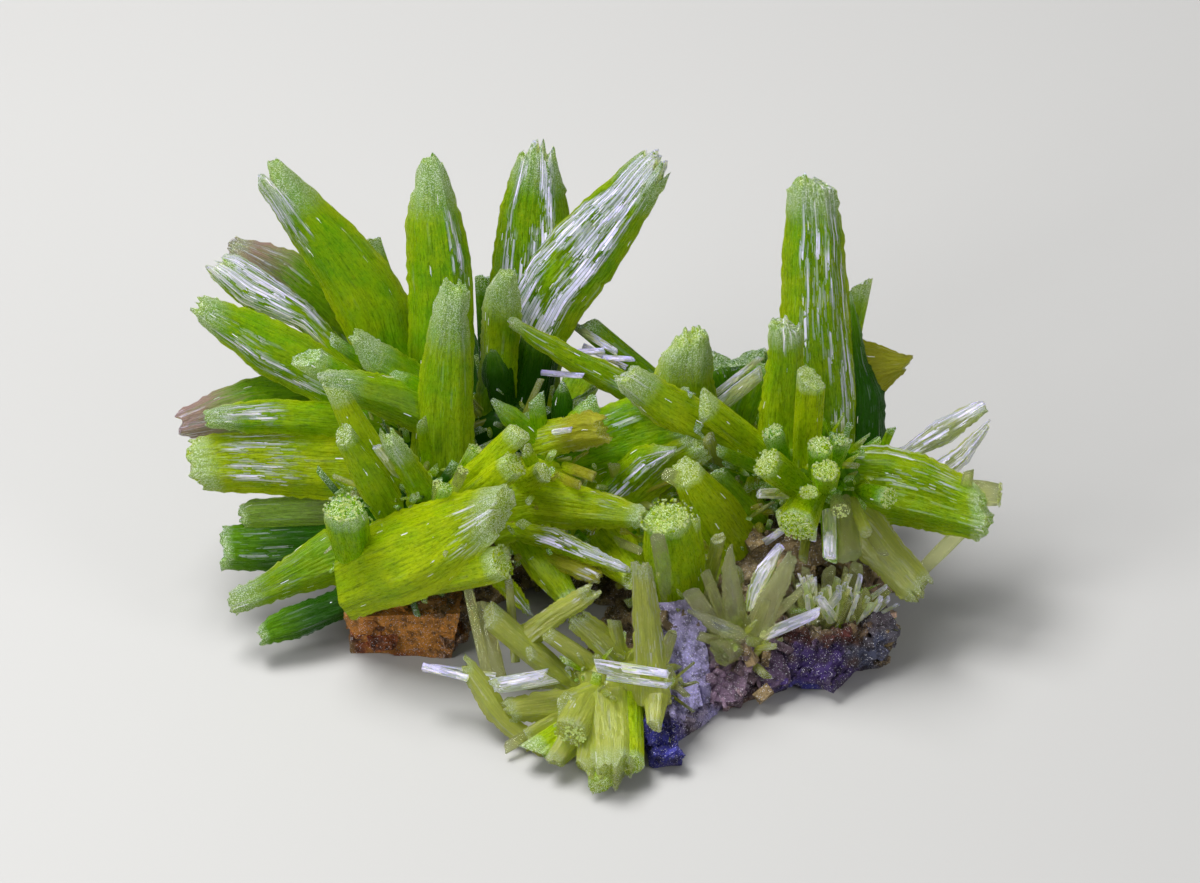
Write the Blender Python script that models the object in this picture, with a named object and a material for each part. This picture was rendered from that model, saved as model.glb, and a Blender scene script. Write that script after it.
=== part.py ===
"""Pyromorphite specimen: sprays of hexagonal green crystals grown on a small broken rock.

Metres, +Z up. The rock rests on its flat underside at z = 0, below the middle of the specimen.
A crystal's place is given as it is seen from in front and above: u across to the right,
v up the view and w towards the viewer, all in millimetres.
"""

import math
import random

import bmesh
import bpy
from mathutils import Matrix, Vector
from mathutils.bvhtree import BVHTree

MM = 0.001
VIEW_TILT = math.radians(38)  # the view looks down this far
CONTACT_GAP = 0.3 * MM  # the hair gap between two pieces that touch
ROCK_GAP = 0.35 * MM
SIDES = 6  # pyromorphite is hexagonal
FLATNESS = 0.78  # a crystal's depth as a share of its width
LATH_FLATNESS = 0.42
END_RAGGEDNESS = 0.16  # how far an end's corners stand up or down, as a share of the width
FLAT_ENOUGH = math.radians(1)  # facets that turn less than this are one face

# How each form swells along its length: (share of the length from the root, share of the width).
FORMS = {
    "spindle": ((0.0, 0.60), (0.50, 1.00), (1.0, 0.50)),
    "taper": ((0.0, 0.95), (0.45, 1.00), (1.0, 0.58)),
    "column": ((0.0, 0.85), (1.0, 0.95)),
    "flare": ((0.0, 0.60), (1.0, 1.00)),
    "barrel": ((0.0, 0.62), (0.55, 1.00), (1.0, 0.66)),
    "point": ((0.0, 0.80), (0.70, 1.00), (1.0, 0.30)),
    "knob": ((0.0, 0.75), (0.86, 1.00), (1.0, 0.62)),
    "stump": ((0.0, 1.00), (0.6, 1.00), (1.0, 0.70)),
    "lath": ((0.0, 0.90), (1.0, 0.80)),
}

# Each crystal: tip, root, width, form. The left spray fans out over the left end of the rock.
LEFT_SPRAY = [
    # the blades along the top, behind the others
    ((-21.8, 20.7, 2.5), (-12.0, 11.6, 2.0), 3.2, "flare"),
    ((-13.8, 21.2, 3.2), (-10.6, 11.5, 2.4), 1.6, "lath"),
    ((-19.2, 25.9, 7.0), (-10.0, 9.2, 3.4), 3.3, "spindle"),
    ((-20.0, 24.4, 7.4), (-11.5, 9.0, 3.8), 3.4, "spindle"),
    ((-16.4, 22.6, 6.6), (-9.4, 10.0, 3.2), 3.0, "spindle"),
    ((-9.9, 26.1, 8.0), (-9.6, 8.2, 3.8), 4.4, "spindle"),
    ((-9.1, 22.0, 8.3), (-8.9, 9.0, 4.2), 3.0, "spindle"),
    # the fibrous blades that point up and to the left
    ((-22.2, 20.0, 4.8), (-12.6, 12.4, 3.6), 2.2, "column"),
    ((-23.0, 19.1, 5.2), (-12.8, 11.4, 4.0), 2.3, "column"),
    ((-23.4, 17.6, 5.4), (-12.4, 10.6, 4.0), 2.8, "taper"),
    ((-24.0, 16.6, 5.8), (-12.6, 9.4, 4.4), 2.9, "taper"),
    # the level blades at the left
    ((-25.1, 10.3, 3.2), (-12.6, 12.8, 2.6), 2.8, "column"),
    ((-23.4, 10.7, 5.7), (-12.6, 10.2, 4.6), 2.3, "column"),
    ((-24.3, 8.5, 5.2), (-12.8, 8.9, 4.4), 2.5, "column"),
    ((-23.8, 7.1, 5.4), (-13.0, 7.6, 4.4), 2.5, "column"),
    ((-21.6, 4.9, 4.6), (-13.0, 5.1, 3.8), 2.3, "column"),
    ((-22.6, 2.9, 4.6), (-13.2, 3.7, 4.0), 3.0, "column"),
    ((-21.9, -0.5, 6.2), (-13.4, 2.7, 5.0), 2.7, "taper"),
    ((-20.2, -2.1, 6.3), (-13.4, 0.6, 5.2), 2.2, "column"),
    # the middle rows, in front of those
    ((-17.4, 14.1, 8.6), (-11.4, 10.4, 5.2), 1.8, "column"),
    ((-16.0, 15.2, 8.0), (-11.0, 11.8, 5.6), 0.9, "lath"),
    ((-14.4, 14.6, 8.6), (-9.0, 10.8, 5.0), 2.9, "taper"),
    ((-12.6, 13.4, 7.8), (-8.6, 9.4, 5.0), 2.4, "point"),
    ((-16.3, 12.7, 10.0), (-10.4, 9.8, 6.0), 2.5, "column"),
    ((-8.6, 18.3, 10.0), (-9.1, 7.0, 5.6), 3.9, "taper"),
    ((-15.6, 12.2, 11.2), (-11.8, 4.6, 7.4), 2.2, "taper"),
    ((-15.2, 9.6, 12.2), (-11.8, 4.0, 8.0), 2.1, "taper"),
    ((-12.3, 9.4, 13.0), (-9.6, 4.4, 8.0), 1.9, "column"),
    ((-4.7, 9.7, 13.0), (-10.0, 4.8, 8.0), 1.5, "column"),
    ((-5.0, 7.8, 12.6), (-10.2, 3.8, 8.0), 1.7, "knob"),
    ((-9.1, 6.4, 13.4), (-9.8, 4.4, 8.0), 0.9, "knob"),
    ((-7.4, 8.7, 11.2), (-8.9, 6.0, 7.0), 0.8, "knob"),
    # the stout one whose end faces the viewer, and the broad fan in front
    ((-15.1, 5.2, 12.8), (-14.4, 0.8, 6.2), 2.6, "knob"),
    ((-6.1, 5.8, 15.0), (-13.4, 3.1, 7.4), 2.9, "taper"),
    ((-6.9, 4.4, 15.6), (-14.0, 1.7, 7.4), 3.6, "taper"),
    ((-7.6, 3.2, 15.2), (-13.9, 0.3, 7.4), 3.2, "taper"),
    ((-5.7, 2.0, 14.2), (-12.6, 0.3, 7.8), 2.2, "knob"),
]

# The spray at the back: the two tall silky blades, and what grows behind them.
BACK_SPRAY = [
    ((-4.2, 27.2, 6.0), (-5.4, 10.6, 0.6), 3.4, "spindle"),
    ((-2.8, 26.1, 5.7), (-4.2, 10.6, 0.4), 3.2, "spindle"),
    ((-4.9, 25.2, 6.2), (-6.2, 10.8, 0.8), 2.4, "spindle"),
    ((2.2, 26.2, 8.0), (-6.4, 12.4, 1.6), 2.8, "column"),
    ((3.6, 25.4, 8.3), (-5.8, 11.8, 1.8), 2.9, "column"),
    ((3.2, 23.6, 8.5), (-5.2, 11.0, 2.0), 2.9, "taper"),
    ((-5.5, 19.2, 6.6), (-6.8, 10.2, 2.6), 2.7, "taper"),
    ((-7.0, 19.0, 2.4), (-6.4, 10.8, 0.4), 1.3, "lath"),
    ((-3.4, 15.4, 4.4), (-4.6, 9.6, 1.6), 2.6, "column"),
    ((-6.4, 14.9, 5.2), (-5.6, 9.4, 2.2), 1.9, "point"),
    ((-9.3, 18.0, -3.2), (-7.4, 9.6, -0.6), 2.8, "spindle"),
    ((-4.6, 15.4, -6.8), (-5.0, 9.2, -1.2), 2.8, "taper"),
    ((-1.0, 13.0, -6.0), (-3.0, 9.0, -1.2), 2.3, "column"),
    ((-14.2, 13.6, -4.2), (-8.8, 9.2, -0.8), 2.4, "taper"),
]

# The short crystals in the middle, which lie over the rock in front of the back spray.
CENTRE_SPRAY = [
    ((-6.4, 11.5, 8.2), (-2.8, 8.4, 5.4), 1.3, "point"),
    ((-3.8, 11.7, 7.6), (-3.4, 7.6, 5.0), 1.2, "column"),
    ((0.4, 9.6, 9.2), (-3.6, 8.0, 5.6), 2.4, "column"),
    ((-0.6, 11.6, 7.2), (-1.2, 7.6, 4.6), 2.6, "barrel"),
    ((-0.3, 7.0, 9.4), (-2.8, 7.8, 5.8), 0.8, "lath"),
    ((-1.2, 6.5, 9.6), (-3.2, 7.2, 6.0), 0.7, "lath"),
    ((-3.3, 7.3, 10.4), (-5.0, 6.4, 6.4), 1.4, "column"),
    ((2.4, 4.9, 9.8), (-4.6, 5.2, 6.4), 2.7, "taper"),
    ((0.8, 6.0, 10.4), (-4.4, 6.0, 6.6), 2.0, "column"),
    ((1.3, 1.7, 11.0), (-4.8, 3.9, 6.8), 2.2, "column"),
    ((-4.0, -1.0, 10.4), (-5.2, 3.2, 6.8), 1.5, "taper"),
    ((-1.7, -0.5, 9.2), (-4.6, 3.6, 6.2), 2.1, "taper"),
    ((2.2, 0.9, 9.2), (0.2, 3.4, 5.4), 2.8, "column"),
    ((4.3, 8.7, 8.8), (0.2, 5.4, 5.2), 2.4, "point"),
    ((1.6, 11.6, 6.2), (2.0, 7.4, 4.0), 2.4, "column"),
    ((3.9, 4.7, 13.2), (4.9, -0.8, 5.4), 3.4, "stump"),
    ((3.4, 3.5, 13.8), (4.3, -1.2, 6.4), 1.1, "lath"),
    ((5.2, 4.5, 11.4), (5.2, -0.8, 6.4), 2.1, "barrel"),
    ((5.0, 7.4, 9.8), (8.4, 2.4, 5.4), 3.2, "taper"),
    ((3.9, 7.2, 10.6), (7.4, 5.4, 6.0), 1.1, "lath"),
    ((6.9, 7.4, 8.6), (9.6, 4.2, 5.6), 1.2, "lath"),
]

# The right spray: the tall column, the heavy blade at the right and the round ends between.
RIGHT_SPRAY = [
    ((12.5, 24.9, 8.2), (12.3, 8.8, 4.0), 3.0, "taper"),
    ((13.5, 24.3, 7.9), (13.8, 8.8, 3.8), 2.5, "taper"),
    ((11.8, 24.5, 8.5), (11.5, 8.6, 4.4), 1.8, "column"),
    ((14.0, 21.3, 7.6), (14.7, 8.6, 4.0), 1.8, "taper"),
    ((11.3, 16.2, 10.0), (11.0, 8.0, 5.8), 2.4, "column"),
    ((10.3, 15.9, 9.2), (10.6, 8.0, 5.2), 1.5, "column"),
    ((12.5, 12.9, 11.4), (12.2, 7.0, 6.6), 1.8, "column"),
    ((15.5, 15.8, 6.4), (15.0, 7.8, 4.2), 1.7, "taper"),
    ((16.3, 12.6, 6.2), (15.4, 7.4, 4.4), 1.7, "column"),
    ((18.1, 13.6, 3.4), (13.4, 9.6, 3.0), 2.5, "flare"),
    ((15.5, 18.5, 3.6), (14.0, 10.0, 2.8), 1.4, "flare"),
    ((17.4, 9.9, 5.6), (16.2, 7.2, 4.6), 0.6, "lath"),
    ((22.8, 11.2, 4.2), (14.6, 6.3, 3.8), 1.6, "column"),
    ((23.1, 9.9, 4.7), (15.0, 5.4, 4.0), 1.3, "column"),
    ((22.1, 6.3, 7.2), (13.6, 8.2, 4.8), 2.4, "column"),
    ((23.1, 5.0, 7.6), (13.4, 7.0, 5.2), 2.4, "column"),
    ((22.5, 3.8, 7.8), (13.8, 5.9, 5.2), 2.0, "flare"),
    ((23.8, 5.9, 7.0), (17.2, 6.6, 6.0), 1.5, "knob"),
    ((21.9, 7.4, 8.8), (21.6, 5.4, 7.2), 0.8, "lath"),
    ((19.1, 1.4, 6.7), (21.9, 4.2, 7.2), 1.0, "lath"),
    ((18.7, -0.2, 8.2), (14.0, 6.0, 5.8), 2.6, "column"),
    ((13.6, 2.1, 12.2), (13.6, 5.4, 7.2), 1.1, "lath"),
    ((14.8, 2.2, 11.4), (14.4, 5.6, 7.0), 1.5, "column"),
    ((11.6, 4.1, 11.6), (12.8, 6.6, 6.4), 2.3, "knob"),
    ((9.8, 7.9, 12.2), (12.6, 5.8, 7.0), 1.9, "knob"),
    ((10.2, 9.7, 11.2), (11.2, 7.0, 6.4), 1.3, "knob"),
    ((13.0, 8.9, 13.0), (13.0, 6.8, 7.0), 1.5, "knob"),
    ((14.2, 9.2, 12.0), (13.8, 7.2, 7.0), 1.0, "knob"),
    ((13.3, 7.4, 14.0), (13.4, 6.2, 7.4), 1.7, "knob"),
    ((12.3, 6.1, 14.0), (12.8, 6.0, 7.6), 1.1, "knob"),
    ((14.2, 5.0, 13.2), (14.0, 5.8, 7.4), 1.1, "knob"),
    ((17.1, 5.7, 11.4), (15.4, 6.2, 6.2), 1.3, "knob"),
    ((1.9, 12.7, 9.2), (10.0, 7.8, 5.2), 3.0, "taper"),
    ((4.9, 15.5, 6.6), (6.2, 8.6, 2.8), 3.8, "barrel"),
    ((6.1, 11.3, 9.8), (10.8, 7.6, 5.8), 1.7, "column"),
    ((6.9, 8.6, 10.8), (10.6, 7.0, 6.6), 0.9, "lath"),
    ((9.6, 13.9, 5.4), (7.8, 8.8, 3.2), 1.9, "lath"),
    ((8.7, 14.1, 2.4), (9.6, 8.6, 1.8), 2.8, "column"),
    ((7.2, 13.8, 1.6), (8.6, 8.8, 1.4), 2.2, "column"),
    ((-5.3, 16.2, 7.2), (8.0, 9.8, 3.2), 2.2, "point"),
    ((-1.0, 16.2, 3.4), (6.4, 10.0, 2.4), 1.4, "column"),
    ((7.6, 12.3, -4.6), (9.4, 8.4, 0.2), 2.5, "taper"),
    ((13.0, 16.6, -2.6), (12.4, 8.8, 1.4), 2.9, "spindle"),
    ((16.6, 10.6, -2.2), (13.0, 7.8, 1.6), 2.1, "column"),
]

# The lower spray hangs forward over the edge of the rock and almost touches the ground.
LOWER_SPRAY = [
    ((-7.8, 0.4, 11.0), (-6.7, -4.6, 11.2), 0.7, "lath"),
    ((-7.2, -0.6, 10.6), (-6.0, -5.0, 10.8), 1.2, "column"),
    ((-6.6, -1.1, 12.2), (-1.4, -5.6, 10.8), 1.6, "column"),
    ((-6.3, -5.4, 12.8), (-1.8, -4.6, 11.2), 1.1, "lath"),
    ((-10.3, -4.3, 10.9), (-6.2, -4.9, 11.2), 0.7, "lath"),
    ((-8.3, -3.6, 11.6), (-2.4, -8.4, 12.2), 1.5, "column"),
    ((-6.1, -6.4, 12.2), (0.6, -5.6, 11.0), 1.9, "column"),
    ((-0.3, 0.3, 13.6), (-5.0, -3.2, 11.0), 1.8, "column"),
    ((-1.8, -1.1, 12.2), (2.2, -5.0, 11.0), 1.9, "column"),
    ((-0.3, -4.1, 14.4), (4.2, -5.0, 12.6), 1.0, "lath"),
    ((2.5, 1.9, 14.8), (3.2, -6.4, 12.6), 2.0, "spindle"),
    ((3.2, -7.8, 14.6), (3.4, -4.2, 11.2), 2.1, "point"),
    ((-1.8, -8.1, 15.6), (-0.2, -5.2, 11.0), 2.1, "knob"),
    ((-0.1, -10.5, 15.4), (0.9, -5.0, 10.8), 2.6, "column"),
    ((1.7, -10.0, 15.4), (1.6, -5.0, 11.0), 1.9, "column"),
    ((-3.7, -9.2, 13.7), (0.6, -6.4, 11.6), 1.8, "column"),
    ((0.0, -11.2, 15.8), (0.6, -7.2, 12.2), 2.4, "point"),
]

# The small pale crystals that fan up from the front edge, right of the middle.
FRONT_FAN = [
    ((7.6, 2.8, 11.2), (8.1, -2.8, 8.6), 1.2, "point"),
    ((10.6, 2.9, 11.4), (8.5, -2.6, 8.6), 1.3, "point"),
    ((11.4, 2.3, 12.2), (8.8, -2.9, 8.8), 1.6, "column"),
    ((5.5, -0.9, 11.8), (9.2, -2.8, 9.0), 1.0, "point"),
    ((5.3, 0.3, 10.2), (7.6, -3.0, 8.4), 1.1, "column"),
    ((13.0, -1.0, 10.2), (8.8, -2.8, 8.8), 0.8, "lath"),
    ((7.0, -3.5, 10.8), (9.0, -2.6, 8.4), 1.7, "column"),
]

# The needles that line the pocket at the right of the front.
POCKET_NEEDLES = [
    ((12.2, 1.6, 8.2), (12.4, -0.9, 5.4), 0.6, "lath"),
    ((11.8, 0.6, 8.0), (12.2, -1.2, 5.4), 0.5, "lath"),
    ((14.2, 0.1, 8.4), (13.2, -1.3, 5.4), 0.7, "lath"),
    ((13.0, -0.2, 8.4), (13.9, -1.6, 5.6), 0.8, "lath"),
    ((14.6, 0.3, 7.8), (14.3, -1.4, 5.4), 0.7, "lath"),
    ((13.6, 1.4, 7.6), (13.6, -0.6, 5.0), 0.9, "column"),
    ((15.9, 0.2, 7.8), (15.3, -1.6, 5.4), 0.7, "lath"),
    ((11.0, -0.4, 7.8), (11.9, -1.5, 5.6), 0.7, "lath"),
    ((15.3, 1.6, 7.4), (14.8, -0.8, 5.0), 0.9, "column"),
]

# The lumpy crust that each spray grows from: middle (u, v, w) and half sizes (u, v, w).
LEFT_CRUST = [
    ((-11.0, 7.6, 3.4), (3.4, 3.6, 3.0)),
    ((-12.0, 3.6, 5.4), (3.0, 3.4, 3.2)),
    ((-10.6, 4.6, 7.4), (2.2, 2.6, 2.4)),
]
BACK_CRUST = [
    ((-5.2, 10.0, 1.2), (3.2, 2.4, 2.8)),
    ((-5.4, 9.0, -0.8), (3.8, 2.4, 2.2)),
]
CENTRE_CRUST = [
    ((-3.4, 5.6, 5.6), (2.6, 3.0, 1.9)),
    ((0.8, 5.4, 4.4), (3.6, 2.9, 1.7)),
    ((5.0, 1.6, 5.6), (2.9, 3.4, 1.8)),
    ((7.8, 4.0, 4.8), (2.4, 2.6, 1.7)),
]
RIGHT_CRUST = [
    ((13.2, 7.0, 4.6), (2.8, 2.8, 3.4)),
    ((10.4, 8.0, 3.8), (3.2, 2.0, 2.8)),
    ((11.0, 8.0, 1.4), (3.8, 1.9, 2.0)),
]
LOWER_CRUST = [
    ((1.4, -5.4, 11.0), (3.2, 2.2, 1.5)),
]
FAN_CRUST = [
    ((8.6, -2.8, 8.6), (1.6, 1.1, 1.0)),
]
POCKET_CRUST = [
    ((13.5, -1.0, 5.3), (2.7, 1.1, 0.8)),
]

# The rock's lumps: middle and half sizes (x, y, z) in millimetres, and the turn about z in degrees.
ROCK_LUMPS = [
    ((-1.5, 4.2, 3.0), (14.0, 5.8, 4.7), 3),
    ((-9.6, 0.4, 2.2), (6.0, 5.6, 3.7), -12),
    ((9.6, 0.6, 2.6), (7.4, 8.0, 4.5), 14),
    ((3.4, -8.0, 0.2), (3.8, 6.6, 2.6), 6),
    ((7.4, -6.6, 1.2), (4.4, 4.6, 2.7), -20),
    ((12.4, -5.6, 1.5), (3.5, 4.0, 2.5), 10),
    ((15.4, -5.9, 1.3), (1.9, 2.1, 1.9), 30),
    ((1.4, 6.4, 4.2), (10.0, 3.2, 4.2), -6),
    ((1.0, 0.8, 1.0), (3.6, 2.4, 2.2), 0),
]
# Flat broken slabs on the rock: middle, half sizes, then the turns about x and z in degrees.
ROCK_SLABS = [
    ((-11.5, -3.4, 1.7), (3.3, 2.8, 1.9), 4, -4),
    ((4.9, -8.9, 2.7), (1.2, 2.7, 0.9), 38, 8),
    ((6.9, -9.7, 1.5), (1.9, 1.8, 0.8), 42, -14),
    ((3.5, -14.2, 1.0), (1.1, 2.6, 1.7), 24, 12),
    ((9.9, -9.2, 0.9), (1.1, 1.1, 1.0), 30, 25),
]
# The open bay in the rock's front edge: middle and half sizes in millimetres.
ROCK_BAY = ((-4.7, -5.4, 2.0), (2.9, 5.6, 9.0))
# The shallow pocket at the right that the needles line.
ROCK_POCKET = ((13.5, -5.4, 3.7), (3.0, 1.9, 1.8))


def seen(u, v, w):
    """A place in the view, as a place in the specimen's own frame."""
    y = v * math.sin(VIEW_TILT) - w * math.cos(VIEW_TILT)
    z = v * math.cos(VIEW_TILT) + w * math.sin(VIEW_TILT)
    return Vector((u, y, z)) * MM


def add_object(name, bm):
    bmesh.ops.triangulate(bm, faces=bm.faces[:])
    bmesh.ops.recalc_face_normals(bm, faces=bm.faces[:])
    mesh = bpy.data.meshes.new(name)
    bm.to_mesh(mesh)
    bm.free()
    obj = bpy.data.objects.new(name, mesh)
    bpy.context.scene.collection.objects.link(obj)
    return obj


def boolean(obj, other, operation):
    """Joins or cuts obj with other, and removes other."""
    modifier = obj.modifiers.new(operation.title(), "BOOLEAN")
    modifier.operation = operation
    modifier.solver = "EXACT"
    modifier.object = other
    bpy.context.view_layer.objects.active = obj
    bpy.ops.object.modifier_apply(modifier=modifier.name)
    bpy.data.objects.remove(other)


def crystal(spec, seed, grow=0.0):
    """One six-sided crystal, drawn out ring by ring from its root to its ragged tip."""
    tip, root, width, form = spec
    rng = random.Random(seed)
    start = seen(*root)
    end = seen(*tip)
    axis = (end - start).normalized()
    start = start - axis * grow
    length = (end - start).length + grow
    half = width * MM / 2 + grow
    flatness = LATH_FLATNESS if form == "lath" else FLATNESS

    stations = FORMS[form]
    bm = bmesh.new()
    ring = bmesh.ops.create_circle(bm, cap_ends=True, segments=SIDES, radius=half * stations[0][1])
    for vert in ring["verts"]:
        vert.co *= 1 + rng.uniform(-0.09, 0.09)
    foot = bm.faces[:][0]
    top = foot
    for before, after in zip(stations, stations[1:]):
        made = bmesh.ops.extrude_face_region(bm, geom=[top])["geom"]
        if top is not foot:
            bmesh.ops.delete(bm, geom=[top], context="FACES_ONLY")
        top = next(item for item in made if isinstance(item, bmesh.types.BMFace))
        corners = top.verts[:]
        bmesh.ops.translate(bm, verts=corners, vec=(0, 0, (after[0] - before[0]) * length))
        swell = after[1] / before[1]
        bmesh.ops.scale(bm, verts=corners, vec=(swell, swell, 1))
    for vert in top.verts:
        vert.co.z += rng.uniform(-1, 0.35) * END_RAGGEDNESS * (width * MM) * (grow == 0)
    bmesh.ops.poke(bm, faces=[top], offset=0.0)
    bmesh.ops.scale(bm, verts=bm.verts[:], vec=(1, flatness, 1))

    # A flat one shows its broad side to the viewer, and a stout one is turned a little.
    facing = seen(0, 0, 1).normalized()
    across = axis.cross(facing)
    if across.length < 0.2:
        across = Vector((1, 0, 0)) - axis * axis.x
    across.normalize()
    deep = axis.cross(across)
    turn = Matrix((across, deep, axis)).transposed().to_4x4()
    roll = Matrix.Rotation(math.radians(rng.uniform(-12, 12)), 4, "Z")
    bmesh.ops.transform(bm, matrix=Matrix.Translation(start) @ turn @ roll, verts=bm.verts[:])
    return add_object("crystal", bm)


def crust_lump(spec, seed, grow=0.0):
    """A rounded, uneven lump of the crust that the crystals stand in."""
    middle, halves = spec
    rng = random.Random(seed)
    bm = bmesh.new()
    bmesh.ops.create_icosphere(bm, subdivisions=1, radius=1.0)
    for vert in bm.verts:
        vert.co *= 1.08 + rng.uniform(-0.1, 0.1)
        u, v, w = (vert.co[i] * (halves[i] + grow / MM) for i in range(3))
        vert.co = seen(middle[0] + u, middle[1] + v, middle[2] + w)
    return add_object("crust", bm)


def rock_lump(middle, halves, turn, seed):
    """A rough boulder shape with flat broken faces."""
    rng = random.Random(seed)
    bm = bmesh.new()
    bmesh.ops.create_icosphere(bm, subdivisions=2, radius=1.0)
    for vert in bm.verts:
        vert.co *= 1.06 + rng.uniform(-0.14, 0.14)
    place = Matrix.Translation(Vector(middle) * MM) @ Matrix.Rotation(math.radians(turn), 4, "Z")
    size = Matrix.Diagonal((halves[0] * MM, halves[1] * MM, halves[2] * MM, 1))
    bmesh.ops.transform(bm, matrix=place @ size, verts=bm.verts[:])
    return add_object("lump", bm)


def rock_slab(middle, halves, lean, turn, seed):
    """A broken slab: a block with its corners moved a little."""
    rng = random.Random(seed)
    bm = bmesh.new()
    bmesh.ops.create_cube(bm, size=2.0)
    for vert in bm.verts:
        vert.co += Vector([rng.uniform(-0.16, 0.16) for _ in range(3)])
    bmesh.ops.triangulate(bm, faces=bm.faces[:])
    place = Matrix.Translation(Vector(middle) * MM)
    place = place @ Matrix.Rotation(math.radians(turn), 4, "Z")
    place = place @ Matrix.Rotation(math.radians(lean), 4, "X")
    size = Matrix.Diagonal((halves[0] * MM, halves[1] * MM, halves[2] * MM, 1))
    bmesh.ops.transform(bm, matrix=place @ size, verts=bm.verts[:])
    return add_object("slab", bm)


def make_rock(grow=0.0):
    """The rock. A grown one is larger all over, and cuts the gap that the sprays keep to it."""
    more = grow / MM

    def sized(halves, change):
        return [half + change for half in halves]

    middle, halves, turn = ROCK_LUMPS[0]
    rock = rock_lump(middle, sized(halves, more), turn, seed=300)
    for i, (middle, halves, turn) in enumerate(ROCK_LUMPS[1:]):
        boolean(rock, rock_lump(middle, sized(halves, more), turn, seed=301 + i), "UNION")
    middle, halves = ROCK_BAY
    boolean(rock, rock_lump(middle, sized(halves, -more), 0, seed=340), "DIFFERENCE")
    for i, (middle, halves, lean, turn) in enumerate(ROCK_SLABS):
        slab = rock_slab(middle, sized(halves, more), lean, turn, seed=320 + i)
        boolean(rock, slab, "UNION")
    middle, halves = ROCK_POCKET
    boolean(rock, rock_lump(middle, sized(halves, -more), 0, seed=341), "DIFFERENCE")

    # The underside is sawn flat, so that the specimen stands.
    bm = bmesh.new()
    bmesh.ops.create_cube(bm, size=1.0)
    block = Matrix.Translation((0, 0, -10 * MM)) @ Matrix.Diagonal((80 * MM, 80 * MM, 20 * MM, 1))
    bmesh.ops.transform(bm, matrix=block, verts=bm.verts[:])
    boolean(rock, add_object("below", bm), "DIFFERENCE")
    keep_main_piece(rock)
    return rock


def keep_main_piece(obj):
    """Clears the loose chips that a cut leaves."""
    bm = bmesh.new()
    bm.from_mesh(obj.data)
    left = set(bm.verts)
    pieces = []
    while left:
        start = left.pop()
        piece = {start}
        edge_of_search = [start]
        while edge_of_search:
            vert = edge_of_search.pop()
            for edge in vert.link_edges:
                other = edge.other_vert(vert)
                if other not in piece:
                    piece.add(other)
                    edge_of_search.append(other)
        left -= piece
        pieces.append(piece)
    pieces.sort(key=len)
    for piece in pieces[:-1]:
        bmesh.ops.delete(bm, geom=list(piece), context="VERTS")
    bm.to_mesh(obj.data)
    bm.free()


def merge_flat_faces(obj):
    """Makes one face of the small coplanar facets that the joins leave."""
    bm = bmesh.new()
    bm.from_mesh(obj.data)
    bmesh.ops.dissolve_limit(bm, angle_limit=FLAT_ENOUGH, verts=bm.verts[:], edges=bm.edges[:])
    bmesh.ops.triangulate(bm, faces=bm.faces[:])
    bm.to_mesh(obj.data)
    bm.free()


def copy_of(obj):
    copy = obj.copy()
    copy.data = obj.data.copy()
    bpy.context.scene.collection.objects.link(copy)
    return copy


def cut_where_met(obj, other):
    """Cuts obj with other where they run into each other, and leaves obj alone elsewhere."""
    trees = []
    for item in (obj, other):
        bm = bmesh.new()
        bm.from_mesh(item.data)
        trees.append(BVHTree.FromBMesh(bm))
        bm.free()
    if trees[0].overlap(trees[1]):
        boolean(obj, other, "DIFFERENCE")
    else:
        bpy.data.objects.remove(other)


def make_spray(name, crystals, crusts, seed, grown_rock, earlier):
    """Crystals and their crust in one solid, which stands off the rock and the earlier sprays."""
    spray = crust_lump(crusts[0], seed)
    for i, spec in enumerate(crusts[1:]):
        boolean(spray, crust_lump(spec, seed + 1 + i), "UNION")
    for i, spec in enumerate(crystals):
        boolean(spray, crystal(spec, seed + 10 + i), "UNION")
    for other_crystals, other_crusts, other_seed in earlier:
        for i, spec in enumerate(other_crusts):
            cut_where_met(spray, crust_lump(spec, other_seed + i, CONTACT_GAP))
        for i, spec in enumerate(other_crystals):
            cut_where_met(spray, crystal(spec, other_seed + 10 + i, CONTACT_GAP))
    boolean(spray, copy_of(grown_rock), "DIFFERENCE")
    keep_main_piece(spray)
    merge_flat_faces(spray)
    spray.name = name
    return spray


def material(obj, name, colour, roughness, transmission=0.0):
    made = bpy.data.materials.new(name)
    made.use_nodes = True
    shader = made.node_tree.nodes["Principled BSDF"]
    shader.inputs["Base Color"].default_value = (*colour, 1)
    shader.inputs["Roughness"].default_value = roughness
    shader.inputs["Metallic"].default_value = 0.0
    shader.inputs["Transmission Weight"].default_value = transmission
    shader.inputs["IOR"].default_value = 2.05 if transmission else 1.5
    obj.data.materials.clear()
    obj.data.materials.append(made)


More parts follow.
